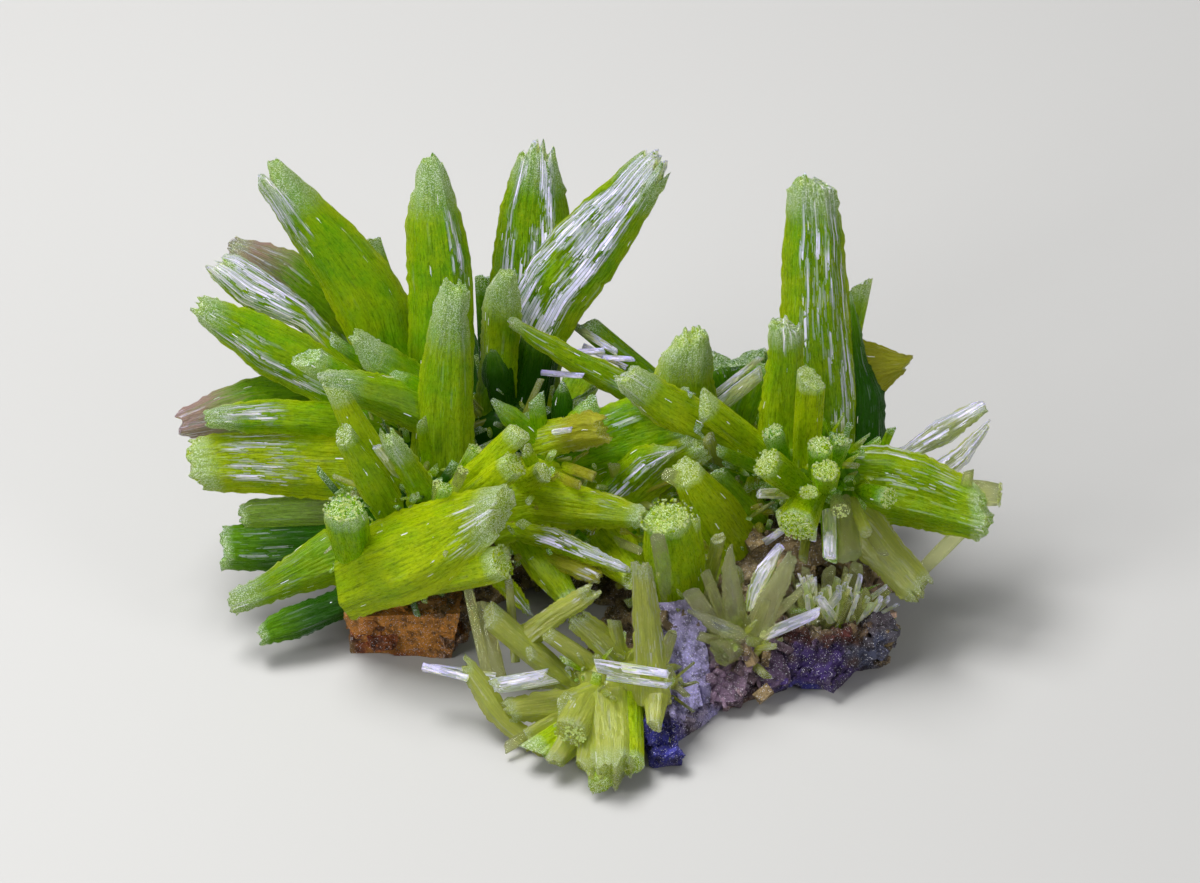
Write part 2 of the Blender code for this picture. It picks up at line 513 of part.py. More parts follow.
def main():
    for old in list(bpy.data.objects):
        bpy.data.objects.remove(old)

    rock = make_rock()
    merge_flat_faces(rock)
    rock.name = "matrix_rock"
    grown_rock = make_rock(ROCK_GAP)
    material(rock, "brown rock", (0.20, 0.13, 0.10), 0.85)

    sprays = [
        ("left_spray", LEFT_SPRAY, LEFT_CRUST, 1000, (0.28, 0.42, 0.02)),
        ("right_spray", RIGHT_SPRAY, RIGHT_CRUST, 2000, (0.30, 0.42, 0.02)),
        ("back_spray", BACK_SPRAY, BACK_CRUST, 3000, (0.26, 0.40, 0.03)),
        ("lower_spray", LOWER_SPRAY, LOWER_CRUST, 4000, (0.36, 0.44, 0.05)),
        ("front_fan", FRONT_FAN, FAN_CRUST, 5000, (0.46, 0.50, 0.16)),
        ("centre_spray", CENTRE_SPRAY, CENTRE_CRUST, 6000, (0.34, 0.42, 0.03)),
        ("pocket_needles", POCKET_NEEDLES, POCKET_CRUST, 7000, (0.56, 0.52, 0.36)),
    ]
    earlier = []
    for name, crystals, crusts, seed, colour in sprays:
        spray = make_spray(name, crystals, crusts, seed, grown_rock, earlier)
        material(spray, name.replace("_", " "), colour, 0.32, 0.25)
        earlier.append((crystals, crusts, seed))
    bpy.data.objects.remove(grown_rock)


main()
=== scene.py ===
# %% [markdown]
# # A pyromorphite cluster
# Pyromorphite grows as hexagonal prisms. Here they have grown in sprays: bundles of crystals that
# start close together on a small broken rock and fan out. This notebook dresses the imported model
# with the real thing's surface: fibrous striated blades, grainy ends, a druse of small crystals
# where the sprays meet the rock, and the rock itself with its several minerals.

import math
import random
from collections import namedtuple

import bpy
import numpy as np
from mathutils import Matrix, Vector, noise


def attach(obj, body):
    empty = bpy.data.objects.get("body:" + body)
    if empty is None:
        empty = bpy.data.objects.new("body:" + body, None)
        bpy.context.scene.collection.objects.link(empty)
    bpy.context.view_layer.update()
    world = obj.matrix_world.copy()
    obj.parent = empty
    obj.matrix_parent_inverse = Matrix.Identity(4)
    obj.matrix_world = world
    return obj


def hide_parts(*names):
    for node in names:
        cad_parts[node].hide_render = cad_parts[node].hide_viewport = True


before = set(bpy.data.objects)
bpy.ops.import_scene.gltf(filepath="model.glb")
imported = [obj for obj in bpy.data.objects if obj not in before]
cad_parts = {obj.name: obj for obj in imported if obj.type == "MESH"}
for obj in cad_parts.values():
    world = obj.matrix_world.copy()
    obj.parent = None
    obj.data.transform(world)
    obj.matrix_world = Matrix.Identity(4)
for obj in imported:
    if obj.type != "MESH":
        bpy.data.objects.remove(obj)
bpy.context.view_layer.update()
MM = 0.001
VIEW_TILT = math.radians(38)  # the view looks down this far

# %% [markdown]
# ## Places
# The crystals were measured in the view: u across to the right, v up the view and w towards the
# viewer, in millimetres. `seen` turns such a place into one in the model's own frame.

# %% Places in the view


def seen(u, v, w):
    """A place in the view, as a place in the model's frame, in metres."""
    y = v * math.sin(VIEW_TILT) - w * math.cos(VIEW_TILT)
    z = v * math.cos(VIEW_TILT) + w * math.sin(VIEW_TILT)
    return Vector((u, y, z)) * MM


TO_VIEWER = seen(0, 0, 1000)


# %% [markdown]
# ## The crystals' places
# A crystal is given by its tip, its root, its width in millimetres, its form and its look, such as
# green, straw, clear or silky (bundles of white streaks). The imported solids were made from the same
# places, so the dressed crystals cover them. They are typed in one by one, because no rule of
# growth would give this very specimen.

# %% The crystals of each spray
LEFT_SPRAY = [
    ((-13.8, 21.2, 3.2), (-10.6, 11.5, 2.4), 1.6, "lath", "silky"),
    ((-17.4, 14.1, 8.6), (-11.4, 10.4, 5.2), 1.8, "column", "green"),
    ((-16.0, 15.2, 8.0), (-11.0, 11.8, 5.6), 0.9, "lath", "green"),
    ((-12.6, 13.4, 7.8), (-8.6, 9.4, 5.0), 2.4, "point", "green"),
    ((-15.6, 12.2, 11.2), (-11.8, 4.6, 7.4), 2.2, "taper", "yellow"),
    ((-15.2, 9.6, 12.2), (-11.8, 4.0, 8.0), 2.1, "taper", "yellow"),
    ((-4.7, 9.7, 13.0), (-10.0, 4.8, 8.0), 1.5, "column", "yellow"),
    ((-5.0, 7.8, 12.6), (-10.2, 3.8, 8.0), 1.7, "knob", "yellow"),
    ((-9.1, 6.4, 13.4), (-9.8, 4.4, 8.0), 0.9, "knob", "green"),
    ((-7.4, 8.7, 11.2), (-8.9, 6.0, 7.0), 0.8, "knob", "green"),
    ((-15.1, 5.2, 12.8), (-14.4, 0.8, 6.2), 2.6, "knob", "green"),
    ((-5.7, 2.0, 14.2), (-12.6, 0.3, 7.8), 2.2, "knob", "yellow"),
]
BACK_SPRAY = [
    ((-7.0, 19.0, 2.4), (-6.4, 10.8, 0.4), 1.3, "lath", "deep"),
    ((-3.4, 15.4, 4.4), (-4.6, 9.6, 1.6), 2.6, "column", "deep"),
    ((-6.4, 14.9, 5.2), (-5.6, 9.4, 2.2), 1.9, "point", "deep"),
    ((-9.3, 18.0, -3.2), (-7.4, 9.6, -0.6), 2.8, "spindle", "deep"),
    ((-4.6, 15.4, -6.8), (-5.0, 9.2, -1.2), 2.8, "taper", "green"),
    ((-1.0, 13.0, -6.0), (-3.0, 9.0, -1.2), 2.3, "column", "streaked"),
    ((-14.2, 13.6, -4.2), (-8.8, 9.2, -0.8), 2.4, "taper", "green"),
]
CENTRE_SPRAY = [
    ((-6.4, 11.5, 8.2), (-2.8, 8.4, 5.4), 1.3, "point", "green"),
    ((-3.8, 11.7, 7.6), (-3.4, 7.6, 5.0), 1.2, "lath", "green"),
    ((-0.6, 11.6, 7.2), (-1.2, 7.6, 4.6), 2.4, "point", "green"),
    ((-0.3, 7.0, 9.4), (-2.8, 7.8, 5.8), 0.8, "lath", "brown"),
    ((-1.2, 6.5, 9.6), (-3.2, 7.2, 6.0), 0.7, "lath", "brown"),
    ((-3.3, 7.3, 10.4), (-5.0, 6.4, 6.4), 1.4, "column", "yellow"),
    ((-1.7, -0.5, 9.2), (-4.6, 3.6, 6.2), 2.1, "taper", "yellow"),
    ((2.2, 0.9, 9.2), (0.2, 3.4, 5.4), 2.8, "taper", "yellow"),
    ((1.6, 11.6, 6.2), (2.0, 7.4, 4.0), 2.2, "point", "deep"),
    ((3.9, 4.7, 13.2), (4.9, -0.8, 5.4), 3.4, "stump", "yellow"),
    ((3.4, 3.5, 13.8), (4.3, -1.2, 6.4), 1.1, "lath", "clear"),
    ((5.2, 4.5, 11.4), (5.2, -0.8, 6.4), 2.1, "barrel", "yellow"),
    ((5.0, 7.4, 9.8), (8.4, 2.4, 5.4), 3.2, "taper", "yellow"),
    ((3.9, 7.2, 10.6), (7.4, 5.4, 6.0), 1.1, "lath", "clear"),
    ((6.9, 7.4, 8.6), (9.6, 4.2, 5.6), 1.2, "lath", "streaked"),
]
RIGHT_SPRAY = [
    ((12.5, 12.9, 11.4), (12.2, 7.0, 6.6), 1.8, "column", "yellow"),
    ((15.5, 18.5, 3.6), (14.0, 10.0, 2.8), 1.4, "flare", "silky"),
    ((17.4, 9.9, 5.6), (16.2, 7.2, 4.6), 0.6, "lath", "silky"),
    ((23.8, 5.9, 7.0), (17.2, 6.6, 6.0), 1.5, "knob", "pale"),
    ((21.9, 7.4, 8.8), (21.6, 5.4, 7.2), 0.8, "lath", "pale"),
    ((19.1, 1.4, 6.7), (21.9, 4.2, 7.2), 1.0, "lath", "clear"),
    ((13.6, 2.1, 12.2), (13.6, 5.4, 7.2), 1.1, "lath", "silky"),
    ((14.8, 2.2, 11.4), (14.4, 5.6, 7.0), 1.5, "column", "pale"),
    ((11.6, 4.1, 11.6), (12.8, 6.6, 6.4), 2.3, "knob", "yellow"),
    ((9.8, 7.9, 12.2), (12.6, 5.8, 7.0), 1.9, "knob", "yellow"),
    ((10.2, 9.7, 11.2), (11.2, 7.0, 6.4), 1.3, "knob", "green"),
    ((13.0, 8.9, 13.0), (13.0, 6.8, 7.0), 1.5, "knob", "green"),
    ((14.2, 9.2, 12.0), (13.8, 7.2, 7.0), 1.0, "knob", "green"),
    ((13.3, 7.4, 14.0), (13.4, 6.2, 7.4), 1.7, "knob", "yellow"),
    ((12.3, 6.1, 14.0), (12.8, 6.0, 7.6), 1.1, "knob", "yellow"),
    ((14.2, 5.0, 13.2), (14.0, 5.8, 7.4), 1.1, "knob", "pale"),
    ((17.1, 5.7, 11.4), (15.4, 6.2, 6.2), 1.3, "knob", "green"),
    ((6.1, 11.3, 9.8), (10.8, 7.6, 5.8), 1.7, "column", "yellow"),
    ((6.9, 8.6, 10.8), (10.6, 7.0, 6.6), 0.9, "lath", "silky"),
    ((9.6, 13.9, 5.4), (7.8, 8.8, 3.2), 1.9, "lath", "silky"),
    ((8.7, 14.1, 2.4), (9.6, 8.6, 1.8), 2.8, "column", "deep"),
    ((7.2, 13.8, 1.6), (8.6, 8.8, 1.4), 2.2, "column", "deep"),
    ((-1.0, 16.2, 3.4), (6.4, 10.0, 2.4), 1.4, "column", "silky"),
    ((7.6, 12.3, -4.6), (9.4, 8.4, 0.2), 2.5, "taper", "green"),
    ((13.0, 16.6, -2.6), (12.4, 8.8, 1.4), 2.9, "spindle", "green"),
    ((16.6, 10.6, -2.2), (13.0, 7.8, 1.6), 2.1, "column", "streaked"),
]
LOWER_SPRAY = [
    ((-7.8, 0.4, 11.0), (-6.7, -4.6, 11.2), 0.7, "lath", "pale"),
    ((-7.2, -0.6, 10.6), (-6.0, -5.0, 10.8), 1.2, "column", "pale"),
    ((-6.6, -1.1, 12.2), (-1.4, -5.6, 10.8), 1.6, "column", "straw"),
    ((-6.3, -5.4, 12.8), (-1.8, -4.6, 11.2), 1.1, "lath", "silver"),
    ((-10.3, -4.3, 10.9), (-6.2, -4.9, 11.2), 0.7, "lath", "silver"),
    ((-0.3, -4.1, 14.4), (4.2, -5.0, 12.6), 1.0, "lath", "silver"),
    ((3.2, -7.8, 14.6), (3.4, -4.2, 11.2), 1.5, "taper", "straw"),
    ((-1.8, -8.1, 15.6), (-0.2, -5.2, 11.0), 2.1, "knob", "straw"),
    ((1.7, -10.0, 15.4), (1.6, -5.0, 11.0), 1.9, "column", "yellow"),
    ((-3.7, -9.2, 13.7), (0.6, -6.4, 11.6), 1.8, "column", "yellow"),
    ((0.0, -11.2, 15.8), (0.6, -7.2, 12.2), 2.4, "taper", "yellow"),
]
FRONT_FAN = [
    ((5.3, 0.3, 10.2), (7.6, -3.0, 8.4), 1.1, "column", "clear"),
    ((13.0, -1.0, 10.2), (8.8, -2.8, 8.8), 0.8, "lath", "white"),
    ((7.0, -3.5, 10.8), (9.0, -2.6, 8.4), 1.7, "column", "pale"),
]
POCKET_NEEDLES = [
    ((12.2, 1.6, 8.2), (12.4, -0.9, 5.4), 0.6, "lath", "clear"),
    ((11.8, 0.6, 8.0), (12.2, -1.2, 5.4), 0.5, "lath", "white"),
    ((14.2, 0.1, 8.4), (13.2, -1.3, 5.4), 0.7, "lath", "white"),
    ((13.0, -0.2, 8.4), (13.9, -1.6, 5.6), 0.8, "lath", "white"),
    ((14.6, 0.3, 7.8), (14.3, -1.4, 5.4), 0.7, "lath", "pale"),
    ((13.6, 1.4, 7.6), (13.6, -0.6, 5.0), 0.9, "column", "clear"),
    ((15.9, 0.2, 7.8), (15.3, -1.6, 5.4), 0.7, "lath", "pale"),
    ((11.0, -0.4, 7.8), (11.9, -1.5, 5.6), 0.7, "lath", "clear"),
    ((15.3, 1.6, 7.4), (14.8, -0.8, 5.0), 0.9, "column", "pale"),
]

# %% [markdown]
# Small crystals, most of them bright laths, lie between the big ones. They belong to the same
# sprays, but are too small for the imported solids.

# %% The small crystals
LEFT_SPRAY += [
    ((-9.6, 6.6, 13.0), (-9.8, 4.4, 8.0), 0.6, "knob", "pale"),
    ((-8.1, 7.4, 12.0), (-9.2, 5.0, 8.0), 0.7, "knob", "pale"),
    ((-13.2, 8.8, 11.6), (-11.6, 6.6, 8.0), 0.7, "lath", "silver"),
    ((-10.6, 10.4, 10.0), (-10.2, 7.4, 7.0), 0.8, "lath", "green"),
    ((-9.0, 2.4, 13.6), (-10.6, 0.6, 9.0), 0.8, "lath", "straw"),
]
CENTRE_SPRAY += [
    ((0.3, 14.5, 6.0), (-1.6, 14.4, 4.6), 0.45, "lath", "white"),
    ((2.0, 14.0, 6.0), (0.2, 14.1, 4.6), 0.40, "lath", "white"),
    ((-1.0, 13.0, 6.6), (-3.5, 13.2, 4.6), 0.40, "lath", "white"),
    ((-1.7, 9.8, 9.4), (-3.0, 9.6, 7.0), 0.40, "lath", "white"),
    ((1.0, 14.4, 5.4), (-1.5, 16.0, 3.4), 0.50, "lath", "silver"),
    ((1.6, 13.5, 5.2), (-1.0, 14.8, 3.4), 0.40, "lath", "silver"),
    ((10.7, 2.9, 9.8), (9.2, 0.9, 6.0), 0.7, "lath", "white"),
    ((11.2, 4.1, 9.6), (9.1, 2.6, 6.0), 0.5, "lath", "white"),
    ((2.4, 2.6, 10.6), (0.4, 3.4, 6.4), 0.6, "lath", "pale"),
    ((7.0, 3.4, 10.6), (6.4, 0.4, 6.4), 0.9, "column", "straw"),
    ((8.2, 1.2, 9.6), (7.6, -1.0, 6.0), 0.9, "column", "straw"),
    ((6.6, 0.6, 9.8), (6.2, -1.6, 6.2), 0.8, "lath", "pale"),
    ((-0.8, 6.0, 8.6), (0.2, 4.0, 5.0), 0.8, "lath", "brown"),
    ((0.8, 7.8, 8.0), (1.4, 5.4, 5.0), 0.9, "lath", "straw"),
    ((-4.4, 8.6, 9.4), (-3.4, 6.4, 5.6), 1.0, "lath", "yellow"),
    ((6.4, 9.4, 8.4), (7.4, 6.4, 5.0), 1.0, "lath", "straw"),
    ((-2.2, 12.6, 7.0), (-2.4, 8.8, 4.8), 1.3, "point", "deep"),
]
RIGHT_SPRAY += [
    ((9.6, 14.1, 6.6), (6.7, 11.8, 4.6), 0.45, "lath", "silver"),
    ((9.6, 13.2, 7.0), (7.1, 11.2, 4.6), 1.0, "lath", "silver"),
    ((13.6, 2.2, 12.4), (13.6, 5.0, 8.2), 0.9, "lath", "white"),
    ((12.6, 3.2, 11.0), (12.8, 5.4, 7.4), 0.5, "lath", "white"),
    ((9.4, 6.0, 11.4), (11.4, 6.0, 7.4), 0.7, "lath", "silver"),
    ((15.8, 3.6, 11.0), (15.0, 5.6, 7.0), 0.8, "column", "straw"),
    ((16.8, 2.4, 9.8), (15.4, 4.6, 6.6), 0.7, "lath", "pale"),
    ((12.0, 2.0, 10.2), (12.4, 4.4, 6.6), 0.7, "lath", "straw"),
    ((10.6, 4.6, 10.6), (12.0, 5.6, 6.6), 0.9, "column", "yellow"),
]
LOWER_SPRAY += [
    ((4.0, -4.6, 14.6), (-0.2, -4.0, 13.4), 0.6, "lath", "white"),
    ((4.1, -5.3, 14.4), (0.4, -4.8, 13.2), 0.5, "lath", "silver"),
    ((-7.8, -4.9, 12.2), (-10.5, -4.2, 11.4), 0.5, "lath", "white"),
    ((-3.2, -4.7, 13.2), (-6.3, -5.3, 12.6), 0.9, "lath", "silver"),
    ((-5.4, 0.9, 10.8), (-5.0, -4.0, 10.8), 0.6, "lath", "straw"),
    ((-4.2, -3.4, 12.8), (-1.6, -5.4, 11.0), 0.8, "column", "straw"),
    ((-5.6, -9.0, 12.8), (-1.6, -6.8, 11.4), 0.8, "lath", "pale"),
    ((4.3, -2.2, 13.0), (3.2, -5.4, 11.0), 0.8, "lath", "pale"),
    ((0.8, -1.4, 12.6), (1.4, -4.8, 11.0), 0.9, "column", "straw"),
    ((3.9, -8.8, 13.4), (3.0, -5.6, 11.0), 0.8, "lath", "straw"),
    ((-0.9, -10.3, 15.8), (0.4, -6.0, 11.8), 2.1, "taper", "straw"),
    ((-2.8, -9.9, 14.8), (0.2, -6.4, 11.8), 1.9, "taper", "straw"),
    ((-2.0, -6.4, 13.6), (0.6, -5.4, 11.4), 1.5, "column", "straw"),
    ((-4.4, -8.4, 13.2), (-1.0, -6.6, 11.6), 1.2, "lath", "straw"),
    ((-3.2, -2.2, 12.6), (0.6, -4.8, 11.4), 1.2, "lath", "straw"),
]
FRONT_FAN += [
    ((6.2, 1.4, 10.8), (7.8, -2.6, 8.6), 0.8, "lath", "pale"),
    ((9.9, -0.2, 11.2), (8.9, -3.0, 8.8), 0.7, "lath", "pale"),
    ((5.8, -2.4, 10.8), (8.4, -3.2, 8.6), 0.7, "lath", "clear"),
    ((12.0, 0.4, 10.8), (9.2, -2.4, 8.8), 0.6, "lath", "clear"),
]

# %% [markdown]
# The pocket at the right holds a tuft of thin clear needles, too many to place by hand. They are
# strewn by random numbers with a fixed seed, and each leans away from the middle of the pocket.

# %% Clear needles in the pocket
NEEDLES = 60
POCKET_MIDDLE = 13.4
POCKET_DEPTH = 5.4  # how far to the front the needles' feet lie
needle_dice = random.Random(5)
for _ in range(NEEDLES):
    foot_u = needle_dice.uniform(10.8, 16.2)
    foot_v = needle_dice.uniform(-1.9, -0.4)
    lean_u = (foot_u - POCKET_MIDDLE) * 0.25 + needle_dice.gauss(0, 0.5)
    rise = needle_dice.uniform(0.9, 2.3)
    tip = (foot_u + lean_u, foot_v + rise, 7.4 + rise * 0.4)
    width = needle_dice.uniform(0.22, 0.5)
    look = needle_dice.choice(("clear", "white", "white", "silver", "pale"))
    POCKET_NEEDLES.append((tip, (foot_u, foot_v, POCKET_DEPTH), width, "lath", look))
print("crystals in the pocket", len(POCKET_NEEDLES))

# %% [markdown]
# The broad blades aren't plain prisms: they swell, fork and fan. Each is drawn by its two long
# edges as they are seen, from the root to the tip, left edge first. After the edges come how far
# to the front its root and its tip lie, the height of its end across the blade, its thickness, its
# look, and where its white silk, a painted sheen, lies: the share across, the share along, and how
# much.

# %% The broad blades
# Heights of an end: (share of the way across, mm above the last places of the edges).
ROUND_END = ((0, 0), (0.15, 0.35), (0.4, 0.75), (0.6, 0.8), (0.85, 0.45), (1, 0))
SOFT_END = ((0, 0.15), (0.12, 0.35), (0.5, 0.42), (0.88, 0.35), (1, 0.15))
FLAT_END = ((0, 0.12), (1, 0.12))
LEFT_BLADES = [
    # the forked blade at the top left
    (((-13.2, 11.5), (-15.3, 15.5), (-16.3, 17.5), (-17.3, 19.3), (-18.6, 21.2), (-19.8, 23.3),
      (-20.35, 24.0)),
     ((-9.6, 11.5), (-10.9, 15.5), (-11.2, 17.6), (-12.2, 19.2), (-13.8, 21.1), (-14.6, 22.0),
      (-16.0, 23.2), (-17.4, 24.5), (-18.5, 25.5)),
     (3.6, 7.4), ((0, 0), (0.12, 0.5), (0.32, 0.55), (0.41, 0.2), (0.46, -0.5), (0.5, 0.7),
                  (0.62, 1.0), (0.85, 0.6), (1, 0)), 2.6, "green", (0.0, 0.5, 0.72, 1.0, 0.62)),
    # the rounded blade beside it
    (((-11.3, 9.0), (-11.5, 14.0), (-11.45, 18.0), (-11.6, 20.5), (-11.65, 22.0), (-11.4, 23.3),
      (-11.0, 24.5), (-10.9, 25.3)),
     ((-7.6, 9.0), (-7.4, 14.0), (-7.45, 18.5), (-7.6, 20.0), (-7.85, 21.2), (-8.2, 22.6),
      (-8.7, 24.1), (-9.15, 25.3)),
     (3.8, 8.0), ROUND_END, 2.4, "green", (0.66, 0.9, 0.55, 0.86, 0.6)),
    # the one that stands in front of it
    (((-11.5, 6.5), (-11.2, 10.0), (-10.6, 14.0), (-10.2, 16.0), (-9.75, 17.6), (-9.5, 18.35)),
     ((-7.2, 6.5), (-7.4, 10.0), (-7.5, 13.0), (-7.6, 15.0), (-7.8, 16.5), (-7.65, 17.9)),
     (5.6, 10.2), ((0, 0.2), (0.1, 0.3), (0.3, 0.25), (0.42, 0.05), (0.55, 0.25), (0.78, 0.25),
                   (0.86, -0.1), (1, 0)), 2.5, "pale tip", (0.3, 0.9, 0.72, 0.95, 0.3)),
    # the mauve blade behind, and the silky and the streaked ones below it
    (((-13.5, 11.0), (-17.5, 15.5), (-20.0, 18.0), (-21.6, 19.6), (-22.35, 20.35)),
     ((-12.5, 14.5), (-15.5, 18.6), (-18.2, 20.55), (-20.0, 21.0), (-21.7, 21.3)),
     (2.0, 2.6), FLAT_END, 1.8, "mauve", (0.1, 0.9, 0.7, 1.0, 0.45)),
    (((-14.0, 11.8), (-17.8, 15.7), (-20.0, 16.6), (-21.5, 17.2), (-22.6, 18.2), (-23.3, 19.0)),
     ((-14.5, 14.2), (-17.2, 17.2), (-19.0, 18.6), (-20.3, 19.5), (-21.5, 20.2), (-22.2, 20.3)),
     (3.8, 5.0), ((0, 0.4), (0.2, 0.5), (0.45, 0.5), (0.56, -0.1), (0.66, -0.3), (0.74, 0.4),
                  (1, 0.4)), 1.9, "silky", (0.0, 1.0, 0.3, 1.0, 0.95)),
    (((-12.5, 8.5), (-16.0, 10.9), (-18.5, 12.1), (-20.6, 13.2), (-22.0, 14.5), (-23.4, 15.6),
      (-24.15, 16.3)),
     ((-12.5, 12.5), (-15.5, 14.2), (-18.0, 15.8), (-20.0, 16.7), (-21.5, 17.2), (-23.0, 17.7),
      (-23.8, 17.9)),
     (4.2, 5.7), ((0, 0.2), (0.2, 0.3), (0.45, 0.25), (0.52, -0.25), (0.62, 0.15), (0.85, 0.3),
                  (1, 0.2)), 2.1, "streaked", (0.1, 0.62, 0.35, 0.98, 0.62)),
    # the level blades
    (((-12.5, 11.0), (-18.0, 9.8), (-22.0, 9.5), (-24.7, 9.25)),
     ((-12.5, 14.0), (-18.0, 13.2), (-21.0, 12.95), (-23.0, 12.2), (-25.1, 11.0)),
     (2.6, 3.2), ((0, 0), (0.2, 0.45), (0.4, 0.4), (0.55, 0.15), (0.8, 0.3), (1, 0)), 2.0,
     "dark mauve", (0.0, 0.9, 0.85, 1.0, 0.4)),
    (((-12.8, 5.0), (-16.0, 5.5), (-20.0, 5.9), (-22.0, 6.0), (-23.4, 6.1)),
     ((-12.8, 10.0), (-17.0, 9.8), (-20.0, 9.7), (-22.8, 9.65), (-24.4, 9.3)),
     (4.4, 5.3), ((0, 0), (0.15, 0.45), (0.3, 0.7), (0.5, 0.68), (0.7, 0.45), (0.9, 0.3), (1, 0)),
     2.3, "yellow", (0.2, 0.95, 0.45, 0.86, 0.55)),
    (((-12.6, 8.8), (-17.0, 9.4), (-21.0, 9.6), (-23.0, 9.9)),
     ((-12.6, 11.5), (-16.0, 11.5), (-19.5, 11.7), (-21.5, 11.5), (-22.9, 11.2), (-23.4, 10.9)),
     (4.6, 5.9), SOFT_END, 1.8, "green", (0.2, 0.9, 0.62, 0.95, 0.75)),
    (((-13.0, 3.4), (-17.0, 3.8), (-21.3, 3.85)),
     ((-13.0, 6.6), (-17.0, 6.0), (-21.0, 5.65), (-21.7, 5.3)),
     (3.8, 4.6), FLAT_END, 1.8, "dull", (0.0, 1.0, 0.6, 1.0, 0.15)),
    (((-13.2, 1.6), (-17.0, 1.5), (-20.3, 1.3), (-22.4, 1.4)),
     ((-13.2, 5.2), (-17.0, 4.4), (-21.0, 4.2), (-22.55, 4.2)),
     (3.9, 4.5), FLAT_END, 2.1, "deep", (0.1, 0.9, 0.5, 0.95, 0.22)),
    (((-14.0, 0.4), (-16.0, 0.4), (-18.0, -0.1), (-20.0, -0.7), (-21.75, -1.3)),
     ((-14.0, 5.0), (-16.5, 3.9), (-18.5, 2.4), (-20.3, 1.1), (-22.1, 0.2)),
     (4.8, 6.3), ((0, 0), (0.3, 0.15), (1, 0)), 1.9, "white tip", (0.0, 1.0, 0.5, 1.0, 0.25)),
    (((-13.4, -0.8), (-15.5, -1.6), (-18.0, -2.7), (-20.0, -3.0)),
     ((-13.4, 2.2), (-16.0, 0.2), (-18.0, -0.5), (-19.8, -1.3), (-20.4, -2.0)),
     (5.2, 6.3), FLAT_END, 1.8, "deep", (0.0, 1.0, 0.5, 1.0, 0.1)),
    # the middle rows
    (((-9.0, 8.5), (-12.5, 12.4), (-14.0, 13.3), (-14.7, 14.7)),
     ((-8.0, 12.0), (-10.9, 13.9), (-12.6, 14.9), (-14.0, 15.6)),
     (5.0, 8.6), SOFT_END, 1.9, "pale tip", (0.0, 1.0, 0.7, 1.0, 0.15)),
    (((-9.6, 8.6), (-11.5, 9.8), (-14.3, 11.1), (-16.5, 12.1)),
     ((-9.2, 12.0), (-12.0, 13.0), (-14.4, 13.35), (-16.4, 13.4)),
     (6.0, 10.0), FLAT_END, 1.9, "pale tip", (0.2, 0.9, 0.75, 1.0, 0.35)),
    (((-11.2, 4.6), (-11.5, 6.0), (-12.2, 7.6), (-12.85, 8.7), (-12.9, 9.2)),
     ((-8.8, 5.2), (-9.8, 6.7), (-10.9, 8.3), (-11.8, 9.4)),
     (8.0, 13.0), SOFT_END, 1.5, "pale tip", (0.0, 1.0, 0.7, 1.0, 0.2)),
    # the broad fan in front
    (((-15.3, 3.0), (-13.6, 4.3), (-12.0, 5.1), (-10.0, 5.7), (-8.6, 6.1), (-7.0, 6.4),
      (-5.7, 6.6)),
     ((-14.7, -1.6), (-12.8, -1.0), (-11.0, -0.6), (-9.3, 0.3), (-8.0, 1.3), (-6.9, 2.4),
      (-6.1, 3.4)),
     (7.6, 14.8), ((0, 0), (0.1, 0.45), (0.25, 0.5), (0.4, 0.3), (0.6, 0.15), (1, 0)), 3.0,
     "fan", (0.0, 0.9, 0.75, 1.0, 0.3)),
]
BACK_BLADES = [
    # the two tall silky blades
    (((-6.8, 11.0), (-7.0, 15.0), (-6.7, 18.5), (-6.3, 21.3), (-6.0, 23.2), (-5.4, 25.0),
      (-4.95, 26.3)),
     ((-2.6, 11.0), (-2.0, 15.0), (-1.6, 18.0), (-1.6, 21.0), (-1.8, 22.8), (-2.0, 24.5),
      (-2.35, 25.5)),
     (0.6, 6.0), ((0, 0), (0.1, 0.3), (0.26, 0.6), (0.3, 1.05), (0.55, 1.15), (0.6, 0.8),
                  (0.8, 0.75), (0.9, 0.45), (1, 0)), 2.3, "silky", (0.14, 0.8, 0.3, 1.0, 0.85)),
    (((-7.2, 13.2), (-6.2, 16.0), (-5.3, 18.4), (-4.2, 20.3), (-2.4, 22.2), (-1.0, 23.5),
      (0.4, 24.6), (1.6, 25.7), (2.4, 26.25)),
     ((-4.2, 9.5), (-2.8, 13.2), (-1.0, 16.6), (0.6, 18.6), (1.7, 20.3), (2.6, 21.9),
      (3.3, 23.2), (3.85, 24.2)),
     (1.6, 8.2), ((0, 0), (0.15, 0.4), (0.28, 0.8), (0.45, 0.85), (0.6, 0.65), (0.72, 0.8),
                  (0.78, 0.3), (0.87, 0.3), (0.9, 0.95), (0.97, 0.9), (1, 0.2)), 2.3,
     "silky", (0.02, 0.8, 0.16, 1.0, 1.0)),
    (((-7.6, 11.0), (-7.2, 14.0), (-7.1, 17.0), (-6.7, 18.4), (-6.1, 19.2)),
     ((-4.9, 10.8), (-4.9, 14.0), (-4.6, 16.5), (-4.7, 17.6), (-4.95, 18.9)),
     (2.6, 6.8), SOFT_END, 1.9, "pale tip", (0.0, 1.0, 0.8, 1.0, 0.1)),
]
